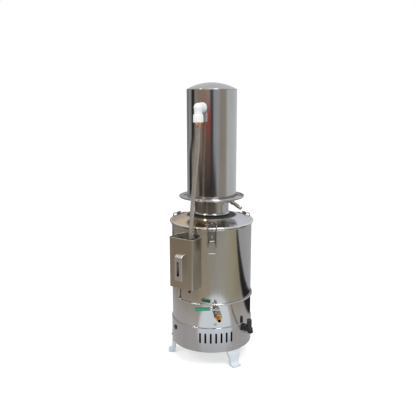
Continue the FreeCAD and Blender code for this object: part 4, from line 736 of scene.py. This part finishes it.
cap_edge = [(68.9, 777.9), (70.0, 777.9, 0.3), (70.0, 779.0, 0.9), (68.6, cap_height(68.6))]
cap_radii = [CAP_EDGE_R * (1 - i / CAP_STEPS) for i in range(1, CAP_STEPS + 1)]
crown_top = [(r, cap_height(r)) for r in cap_radii]
crown_under = [(r, cap_height(r) - SHEET_MM) for r in reversed(cap_radii)]
spin("tower_cap", cap_edge + crown_top + crown_under, mirror_steel, ("condenser_cap",))
dress(("condensing_dome",), mirror_steel)
dress(("distillate_nozzle", "cooling_inlet", "outlet_stub", "feed_nipple"), bright)


# -------------------------------------------------- outlet elbow, union nut and clamp
# White moulded plastic elbow screwed on the outlet stub, with its union nut, and a copper-coloured
# band clamp with a screw that holds the hose below it.
white_plastic = mottled(
    "white_moulded_plastic", (0.86, 0.86, 0.86), (0.93, 0.93, 0.92), patches=(70.0, 2.0),
    rough=(0.30, 0.42), relief=0.00002, grain=(700.0, 2.0), IOR=1.48, Subsurface_Weight=0.08,
    Subsurface_Scale=0.002,
)
eased("outlet_elbow", white_plastic, edge=0.0006)
eased("union_nut", white_plastic, edge=0.0005)

copper = mottled(
    "copper_band", (0.92, 0.42, 0.16), (1.0, 0.60, 0.28), patches=(190.0, 3.0),
    rough=(0.24, 0.44), relief=0.00003, Metallic=1.0,
)
eased("hose_clamp", copper, edge=0.0003)
clamp_head = ringed.made(
    head_mesh(radius=0.0024, rise=0.0014, shank=0.0012, recess=0.0030),
    copper,
    Count=1,
    First=math.radians(-27.0),
    Radius=0.112,
    Height=0.6867,
    Lean=ON_WALL,
)
piece("hose_clamp_screw_head", joined("hose_clamp_screw_head", [clamp_head]), copper)


# -------------------------------------------------- level box
# Folded box of satin sheet, hemmed round its top edge and welded to the pot down both sides and
# underneath. A dark plate with a vent and the hose's grommet closes it.
satin = Finish("satin_box_steel", Metallic=1.0)
satin_lines = satin.noise(1.0, 3.0, satin.stretched((1100.0, 1100.0, 20.0)), rough=0.65)
satin_smear = satin.noise(1.0, 3.0, satin.stretched((22.0, 22.0, 14.0)))
satin_mix = satin_smear * 0.6 + satin_lines * 0.4
satin_dents = satin.bumped(satin.noise(9.0, 1.0), 0.0006)
satin.put("Base Color", satin.between(satin_mix, (0.44, 0.40, 0.33), (0.58, 0.54, 0.46)))
satin.put("Roughness", 0.30 + (satin_smear - 0.5) * 0.12 + (satin_lines - 0.5) * 0.10)
satin.put("Normal", satin.bumped(satin_lines, 0.000006, satin_dents))
eased("level_box", satin, edge=0.0006, segments=3)

# the top plate is given a much darker colour than the box
dark_top_plate = mottled(
    "dark_plate_steel", (0.10, 0.09, 0.075), (0.24, 0.22, 0.19), patches=(60.0, 4.0),
    rough=(0.34, 0.54), relief=0.00003, Metallic=1.0,
)
eased("level_box_top", dark_top_plate, edge=0.0003)

# a round bead along a run of points, a little thicker and thinner where it is a weld
beaded = Recipe("bead_along_path", Step="Float", Width="Float", Ripple="Float", Sides="Int")
path_line = beaded.add("GeometryNodeMeshToCurve", {}, {"Mesh": beaded.size("Geometry")})
path_line = beaded.add(
    "GeometryNodeResampleCurve",
    {"mode": "LENGTH"},
    {"Curve": path_line, "Length": beaded.size("Step")},
)
bead_index = beaded.add("GeometryNodeInputIndex")
bead_wave = (bead_index * 2.1).through("SINE")
bead_ring = beaded.add(
    "GeometryNodeCurvePrimitiveCircle",
    {},
    {"Resolution": beaded.size("Sides"), "Radius": beaded.size("Width") * 0.5},
)
beaded.ends(
    beaded.add(
        "GeometryNodeCurveToMesh",
        {},
        {
            "Curve": path_line,
            "Profile Curve": bead_ring,
            "Scale": 1.0 + bead_wave * beaded.size("Ripple"),
            "Fill Caps": True,
        },
    )
)
BEAD_SIDES = 10


def bead(name, paths, finish, width, step, ripple=0.0):
    """Round beads along runs of points, all in one piece."""
    places, links = [], []
    for points in paths:
        links += [(len(places) + i, len(places) + i + 1) for i in range(len(points) - 1)]
        places += points
    runs = bpy.data.meshes.new(name + "_paths")
    runs.from_pydata(places, links, [])
    sizes = {"Step": step, "Width": width, "Ripple": ripple, "Sides": BEAD_SIDES}
    piece(name, smoothed(beaded.made(runs, finish, **sizes), crease=50.0), finish)


BOX_TURN = math.radians(-40.6)
BOX_HALF, BOX_FACE, BOX_LOW, BOX_HIGH = 0.0395, 0.150, 0.2425, 0.384
BOX_BEND, BEND_STEPS = 0.005, 6
outward = Vector((math.sin(BOX_TURN), -math.cos(BOX_TURN), 0.0))
sideways = Vector((math.cos(BOX_TURN), math.sin(BOX_TURN), 0.0))


def on_box(out, side, height):
    """A place by its distances from the pot's axis, from the box's middle and from the floor."""
    return POT_AXIS + outward * out + sideways * side + Vector((0.0, 0.0, height))


def at_pot(side):
    """How far out from the pot's axis its wall lies, to the side of the box's middle."""
    return math.sqrt(POT_R**2 - side**2)


def box_edge(inset, height):
    """The way round the box's wall from one side of the pot to the other."""
    half, face, bend = BOX_HALF - inset, BOX_FACE - inset, BOX_BEND - inset
    facet = 90 / BEND_STEPS
    points = [on_box(at_pot(half), -half, height), on_box(face - bend, -half, height)]
    for side in (-1, 1):
        for step in range(1, BEND_STEPS + 1):
            swing = math.radians(facet * step if side < 0 else 90 - facet * step)
            reach, drift = bend * math.sin(swing), bend * math.cos(swing)
            points.append(on_box(face - bend + reach, side * (half - bend + drift), height))
    return points + [on_box(at_pot(half), half, height)]


rubbed = mottled(
    "rubbed_edge_steel", (0.78, 0.76, 0.71), (0.94, 0.93, 0.90), patches=(220.0, 3.0),
    rough=(0.34, 0.48), Metallic=1.0,
)
HEM = 0.0019
HEM_INSET = 0.0007
hem_path = box_edge(HEM_INSET, BOX_HIGH - HEM / 2)
bead("level_box_hem", [hem_path], rubbed, width=HEM, step=0.0012)

weld = mottled(
    "weld_bead_steel", (0.34, 0.29, 0.24), (0.58, 0.55, 0.52), patches=(210.0, 3.0),
    rough=(0.26, 0.46), relief=0.00006, Metallic=1.0,
)
UPRIGHT_STEPS, UPRIGHT_OUT, UPRIGHT_ASIDE = 20, 0.0006, 0.0002
LOWER_STEPS, LOWER_OUT = 28, 0.0004
weld_paths = [
    [
        on_box(
            at_pot(BOX_HALF) + UPRIGHT_OUT,
            side * (BOX_HALF + UPRIGHT_ASIDE),
            BOX_LOW + (BOX_HIGH - BOX_LOW) * i / UPRIGHT_STEPS,
        )
        for i in range(UPRIGHT_STEPS + 1)
    ]
    for side in (-1, 1)
]
weld_paths.append(
    [
        on_box(at_pot(side) + LOWER_OUT, side, BOX_LOW)
        for side in [BOX_HALF * (i / (LOWER_STEPS / 2) - 1) for i in range(LOWER_STEPS + 1)]
    ]
)
bead("level_box_welds", weld_paths, weld, width=0.0022, step=0.0009, ripple=0.13)


# -------------------------------------------------- sight glass
# A glass tube that shows the water's level, held between two turned fittings on the box's face
# and kept from knocks by a slotted guard of folded sheet.
guard_steel = sheet_steel(
    "guard_sheet_steel", (0.74, 0.73, 0.74), roughness=0.24, grain=0.000003, ripple=0.0002
)
eased("sight_guard", guard_steel, edge=0.0004)
dress(("sight_fittings",), bright)
glass = mottled(
    "sight_glass", (0.86, 0.90, 0.88), (0.95, 0.97, 0.96), patches=(90.0, 2.0),
    rough=(0.02, 0.08), Transmission_Weight=1.0, IOR=1.47,
)
dress(("sight_glass",), glass)


# -------------------------------------------------- overflow pipe
# Thin bright tube that leaves the level box at its foot and is bent round the pot, so that the
# box can't fill past its level.
eased("overflow_pipe", bright, edge=0.0002)


# -------------------------------------------------- drain valve
# Cast and turned ball valve on a welded nipple, with plastic seats, a stamped lever in a green
# dipped sleeve, and a brass hose tail. The lever turns with its stem and ball.
cast = mottled(
    "cast_valve_steel", (0.30, 0.29, 0.27), (0.52, 0.51, 0.48), patches=(330.0, 4.0),
    rough=(0.24, 0.44), relief=0.00012, Metallic=1.0,
)
eased("valve_body", cast, edge=0.0007, segments=3)
eased("valve_nipple", cast, edge=0.0004)
eased("valve_lever", rubbed, edge=0.0004, body="valve_handle")
eased("lever_nut", bright, edge=0.0004, body="valve_handle")
eased("valve_stem", bright, edge=0.0003, body="valve_handle")
dress(("valve_ball",), bright)

ptfe = mottled(
    "seat_plastic", (0.78, 0.78, 0.75), (0.88, 0.88, 0.86), patches=(120.0, 2.0),
    rough=(0.42, 0.54), IOR=1.38,
)
dress(("valve_seats",), ptfe)

green = mottled(
    "green_dipped_plastic", (0.004, 0.20, 0.10), (0.010, 0.33, 0.17), patches=(130.0, 3.0),
    rough=(0.30, 0.50), relief=0.00008, grain=(420.0, 2.0), IOR=1.48, Coat_Weight=0.2,
    Coat_Roughness=0.2,
)
eased("lever_sleeve", green, edge=0.0008, body="valve_handle", segments=3)

brass = mottled(
    "turned_brass", (0.62, 0.34, 0.09), (0.88, 0.56, 0.20), patches=(140.0, 3.0),
    rough=(0.20, 0.38), Metallic=1.0,
)
tool_rings = brass.noise(1.0, 1.0, brass.stretched((60.0, 2600.0, 60.0)))
brass.put("Normal", brass.bumped(tool_rings, 0.00002))
eased("drain_tail", brass, edge=0.0005)


# -------------------------------------------------- toggle latches
# Three stamped toggle latches: a riveted base, a lever on a hinge pin and a bail of bright wire
# that pulls on a hook riveted to the lid. The lever is lighter than its darker base, and the
# bright wire is given a dark colour as a painted dark reflection.
stamped = Finish("stamped_latch_steel", Metallic=1.0)
strokes = stamped.noise(1.0, 3.0, stamped.stretched((700.0, 700.0, 60.0)))
wear = stamped.noise(90.0, 3.0)
stamped.put("Base Color", stamped.between(wear, (0.52, 0.50, 0.46), (0.66, 0.64, 0.60)))
stamped.put("Roughness", 0.24 + (strokes - 0.5) * 0.06 + wear * 0.10)
stamped.put("Normal", stamped.bumped(strokes, 0.000006))
# painted dark reflection: the bright wire of the bails and hooks is given a dark colour
wire = mottled(
    "drawn_wire", (0.26, 0.25, 0.24), (0.40, 0.39, 0.37), patches=(240.0, 3.0),
    rough=(0.20, 0.36), relief=0.00003, Metallic=1.0,
)
# the latch bases are given a darker colour than the levers
plain = Finish("plain_latch_steel", Metallic=1.0)
base_drift = plain.noise(90.0, 3.0)
plain.put("Base Color", plain.between(base_drift, (0.28, 0.26, 0.23), (0.42, 0.40, 0.36)))
plain.put("Roughness", 0.26 + plain.noise(160.0, 2.0) * 0.14)
plain.put("Normal", plain.bumped(plain.noise(420.0, 2.0), 0.00002))
eased("latch_bases", plain, edge=0.0003)
eased("lid_hooks", wire, edge=0.0003)
for side in ("front", "right", "left"):
    eased("latch_lever_" + side, stamped, edge=0.0004, body="latch_lever_" + side)
    dress(("latch_bail_" + side,), wire)


# -------------------------------------------------- power cord outlet and pilot lamp
# Black moulded right-angle outlet, held in the skirt by a locknut and closed by a ribbed nut, and
# a green pilot lamp in a black bezel on the other side.
black = mottled(
    "black_moulded_plastic", (0.010, 0.011, 0.012), (0.028, 0.029, 0.031), patches=(60.0, 2.0),
    rough=(0.34, 0.50), relief=0.00005, grain=(900.0, 2.0), IOR=1.48,
)
eased("cord_outlet", black, edge=0.0006)
eased("cord_clamp_nut", black, edge=0.0006)
eased("cord_outlet_locknut", black, edge=0.0004)
eased("lamp_body", black, edge=0.0004)

lamp_green = mottled(
    "green_lamp_lens", (0.004, 0.08, 0.05), (0.01, 0.16, 0.10), patches=(200.0, 1.0),
    rough=(0.12, 0.22), IOR=1.5, Transmission_Weight=0.35, Coat_Weight=0.4, Coat_Roughness=0.05,
)
dress(("lamp_lens",), lamp_green)


# -------------------------------------------------- heaters and terminals
# Two sheathed hairpin heaters, scaled by the water, come through brass glands in the pot's floor.
# Their ends are wired below it to a glazed ceramic terminal block.
sheath = mottled(
    "heater_sheath", (0.20, 0.18, 0.16), (0.40, 0.37, 0.33), patches=(150.0, 4.0),
    rough=(0.38, 0.58), relief=0.00006, Metallic=1.0,
)
dress(("heaters",), sheath)
dress(("heater_glands", "heater_nuts"), brass)

ceramic = mottled(
    "terminal_ceramic", (0.70, 0.67, 0.60), (0.84, 0.81, 0.74), patches=(500.0, 2.0),
    rough=(0.40, 0.60), relief=0.00005, IOR=1.5,
)
eased("terminal_block", ceramic, edge=0.001)


# -------------------------------------------------- studio
# A pale floor, three soft lamps, a bright sky, and cards round the object that only polished
# metal shows, so that its curves read.
def staged(name, mesh, finish, only_in_gloss=False):
    """Puts a floor or a card in the scene, where it is wanted only in what the metal reflects."""
    mesh.materials.append(finish.material)
    thing = placed(name, mesh)
    if only_in_gloss:
        thing.visible_camera = False
        thing.visible_diffuse = False
        thing.visible_transmission = False
        thing.visible_shadow = False


RING_STEPS = 96


def ring_mesh(name, profile):
    """A turned surface round the pot's axis from (radius, height) pairs in metres."""
    form = bmesh.new()
    turned(form, profile, RING_STEPS, POT_AXIS)
    mesh = bpy.data.meshes.new(name)
    form.to_mesh(mesh)
    form.free()
    mesh.shade_smooth()
    return mesh


def shown_by(finish, shader):
    """Gives a finish another shader than the usual one."""
    finish.tree.nodes.remove(finish.shader)
    finish.shader = shader.socket.node
    way_out = finish.tree.nodes["Material Output"]
    finish.tree.links.new(shader.socket, way_out.inputs["Surface"])


# the floor takes the object's shadow, and is lifted towards white for the camera
FLOOR_GREY, FLOOR_LIFT, FLOOR_R = (0.80, 0.80, 0.80), 0.55, 14.0
floor_paint = Finish("pale_floor")
to_camera = floor_paint.add("ShaderNodeLightPath", out="Is Camera Ray")
matt = floor_paint.add("ShaderNodeBsdfDiffuse", {}, {"Color": (*FLOOR_GREY, 1.0)})
lift = floor_paint.add("ShaderNodeEmission", {}, {"Strength": to_camera * FLOOR_LIFT})
shown_by(floor_paint, floor_paint.add("ShaderNodeAddShader", {}, {0: matt, 1: lift}))
floor_profile = ((0.0001, 0.0), (1.0, 0.0), (FLOOR_R, 0.0))
staged("floor", ring_mesh("floor", floor_profile), floor_paint)


def around_pot(card):
    """Where a point of a card lies: to the right, away, up, and its angle, all from the camera."""
    x, y, up = off_axis(card)
    right = x * rightward.x + y * rightward.y
    away = x * ahead.x + y * ahead.y
    angle = right.through("ARCTAN2", 0.0 - away) * (180 / math.pi)
    return right, away, up, angle


def close_to(card, value, middle, half, soft):
    """1 near the middle, and 0 from half plus soft away from it."""
    return 1.0 - ramped(card, (value - middle).through("ABSOLUTE"), half, half + soft)


def by_angle(card, angle, stops):
    """A card's colours by degrees from the camera."""
    return card.add(
        "ShaderNodeValToRGB",
        {"stops": [((degrees + 180) / 360, colour) for degrees, colour in stops]},
        {"Fac": (angle + 180.0) / 360.0},
    )


# upright bands of the walls by degrees from the camera, positive to its right
WALL_BANDS = (
    (-180, (0.52, 0.52, 0.53)),
    (-138, (0.16, 0.16, 0.17)),
    (-124, (0.42, 0.41, 0.41)),
    (-108, (0.34, 0.33, 0.32)),
    (-102, (0.025, 0.025, 0.025)),
    (-88, (0.03, 0.03, 0.028)),
    (-81, (0.36, 0.32, 0.28)),
    (-58, (0.34, 0.26, 0.20)),
    (-28, (0.38, 0.27, 0.22)),
    (-12, (0.40, 0.35, 0.35)),
    (-6, (0.13, 0.12, 0.12)),
    (-1, (0.055, 0.065, 0.085)),
    (4, (0.07, 0.08, 0.10)),
    (9, (0.38, 0.40, 0.44)),
    (28, (0.42, 0.43, 0.45)),
    (38, (0.36, 0.34, 0.31)),
    (44, (0.34, 0.31, 0.26)),
    (66, (0.38, 0.35, 0.31)),
    (76, (0.62, 0.63, 0.64)),
    (140, (0.68, 0.70, 0.73)),
    (180, (0.52, 0.52, 0.53)),
)
ROOM_R, WALL_TOP, ROOF_RISE = 2.6, 1.6, 1.5
walls = Finish("studio_walls")
shown_by(walls, walls.add("ShaderNodeEmission"))
right, away, up, angle = around_pot(walls)
# the dark band at the left leans away low down, where the wall behind the camera is in shade
drift = (1.0 - ramped(walls, up, 0.34, 0.48)) * (1.0 - ramped(walls, angle, -92.0, -74.0))
bands = by_angle(walls, angle + drift * 20.0, WALL_BANDS)
in_front = close_to(walls, angle + up * 30.0, -17.0, 34.0, 14.0)
shade = (1.0 - ramped(walls, up, 0.10, 0.52)) * in_front
bands = walls.between(shade, bands, (0.045, 0.040, 0.038))
# a red cloth hangs left of the camera, bright above and brown in its folds below
cloth = close_to(walls, angle, -24.0, 17.0, 5.0)
folds = cloth * close_to(walls, up, 0.42, 0.12, 0.13) * 0.8
bands = walls.between(folds, bands, (0.14, 0.065, 0.045))
red_top = cloth * close_to(walls, up, 0.62, 0.055, 0.06)
bands = walls.between(red_top, bands, (0.40, 0.055, 0.038))
ceiling = walls.between(ramped(walls, right, -1.4, 1.4), (0.70, 0.68, 0.65), (0.68, 0.70, 0.78))
walls.put("Color", walls.between(ramped(walls, up, 0.95, 1.9), bands, ceiling))
roof = [
    (ROOM_R * math.cos(slope), WALL_TOP + ROOF_RISE * math.sin(slope))
    for slope in turns(*range(10, 90, 10))
]
dome = [(ROOM_R, -0.02), (ROOM_R, 1.0), (ROOM_R, WALL_TOP)] + roof + [(0.01, WALL_TOP + ROOF_RISE)]
staged("studio_walls", ring_mesh("studio_walls", dome), walls, True)

# the bench that the polished sides show: a white sheet in front, and a dark edge to the right
BENCH_SECTORS = (
    (-180, (0.36, 0.34, 0.32)),
    (-90, (0.36, 0.31, 0.25)),
    (-42, (0.37, 0.32, 0.26)),
    (-24, (0.43, 0.355, 0.27)),
    (-4, (0.43, 0.41, 0.36)),
    (20, (0.44, 0.43, 0.405)),
    (42, (0.46, 0.445, 0.38)),
    (60, (0.435, 0.40, 0.30)),
    (78, (0.36, 0.33, 0.25)),
    (100, (0.36, 0.34, 0.29)),
    (180, (0.36, 0.34, 0.32)),
)
MAT_Z = 0.002
mat = Finish("studio_mat")
shown_by(mat, mat.add("ShaderNodeEmission"))
right, away, up, angle = around_pot(mat)
grain = mat.noise(3.0, 3.0)
bench = by_angle(mat, angle + (grain - 0.5) * 14.0, BENCH_SECTORS)
# a cool room past the bench's edge, and dark floor far in front of it
past_edge = right * 0.527 + away * 0.850
from_pot = right * right + away * away
cool = mat.between(grain, (0.42, 0.43, 0.46), (0.52, 0.54, 0.58))
bench = mat.between(ramped(mat, past_edge, 0.50, 0.56), bench, cool)
far_off = ramped(mat, from_pot, 3.1, 3.9) * (1.0 - ramped(mat, angle, 20.0, 50.0))
bench = mat.between(far_off, bench, (0.10, 0.085, 0.075))
near_pot = 1.0 - ramped(mat, from_pot, 0.12, 0.50)
bench = mat.between(near_pot * 0.7, bench, (0.62, 0.62, 0.67))
# the white sheet, cut off straight along the dark line to its right
from_line = right * 0.906 + away * 0.424 - 0.268
sheet_right, sheet_away = (right - 0.075) / 0.325, (away + 0.43) / 0.27
from_sheet = sheet_right * sheet_right + sheet_away * sheet_away
sheet = (1.0 - ramped(mat, from_sheet, 0.70, 1.10)) * (1.0 - ramped(mat, from_line, -0.03, 0.0))
sheet = sheet * (0.25 + ramped(mat, from_pot, 0.05, 0.15) * 0.75)
bench = mat.between(sheet, bench, (0.94, 1.04, 1.16))
dark_line = close_to(mat, from_line, 0.0, 0.004, 0.014) * (1.0 - ramped(mat, from_pot, 0.30, 0.42))
bench = mat.between(dark_line * 0.85, bench, (0.03, 0.03, 0.032))
# the bench's dark edge, broad near the pot and narrow far from it
from_strip = past_edge - 0.475
in_strip = from_strip.through("ABSOLUTE") / (0.142 - from_pot * 0.017)
bench = mat.between(1.0 - ramped(mat, in_strip, 0.75, 1.1), bench, (0.022, 0.022, 0.024))
mat.put("Color", bench)
mat_profile = [(radius, MAT_Z) for radius in (0.125, 0.6, 1.4, ROOM_R)]
staged("studio_mat", ring_mesh("studio_mat", mat_profile), mat, True)

LAMP_AIM = POT_AXIS + Vector((0.0, 0.0, 0.4))
for name, azimuth, elevation, distance, size, power in (
    ("key_lamp", 24.0, 48.0, 2.3, 0.9, 16.0),
    ("fill_lamp", -52.0, 36.0, 2.3, 0.6, 9.0),
    ("top_lamp", 10.0, 84.0, 2.2, 1.0, 5.0),
):
    lamp = placed(name, bpy.data.lights.new(name, "AREA"))
    lamp.data.shape = "DISK"
    lamp.data.size = size
    lamp.data.energy = power
    bearing = math.radians(azimuth) + VIEW_TURN
    climb = math.radians(elevation)
    flat = math.cos(climb)
    outwards = Vector((math.sin(bearing) * flat, -math.cos(bearing) * flat, math.sin(climb)))
    lamp.location = LAMP_AIM + outwards * distance
    lamp.rotation_mode = "QUATERNION"
    lamp.rotation_quaternion = (-outwards).to_track_quat("-Z", "Y")

# the sky is white to the camera, in gloss and through glass, and lights the object a little less
SKY_LIGHT, SKY_SEEN = 0.62, 1.0
sky = bpy.data.worlds.new("sky")
bpy.context.scene.world = sky
sky.use_nodes = True
air = Nodes()
air.tree = sky.node_tree
seen, through_glass, in_gloss = [
    air.add("ShaderNodeLightPath", out=f"Is {kind} Ray")
    for kind in ("Camera", "Transmission", "Glossy")
]
seen = seen.through("MAXIMUM", through_glass).through("MAXIMUM", in_gloss)
level = air.add("ShaderNodeMapRange", {}, {"Value": seen, "To Min": SKY_LIGHT, "To Max": SKY_SEEN})
backdrop = air.tree.nodes["Background"]
backdrop.inputs["Color"].default_value = (1.0, 1.0, 1.0, 1.0)
air.tree.links.new(level.socket, backdrop.inputs["Strength"])
bpy.context.scene.view_settings.view_transform = "Standard"
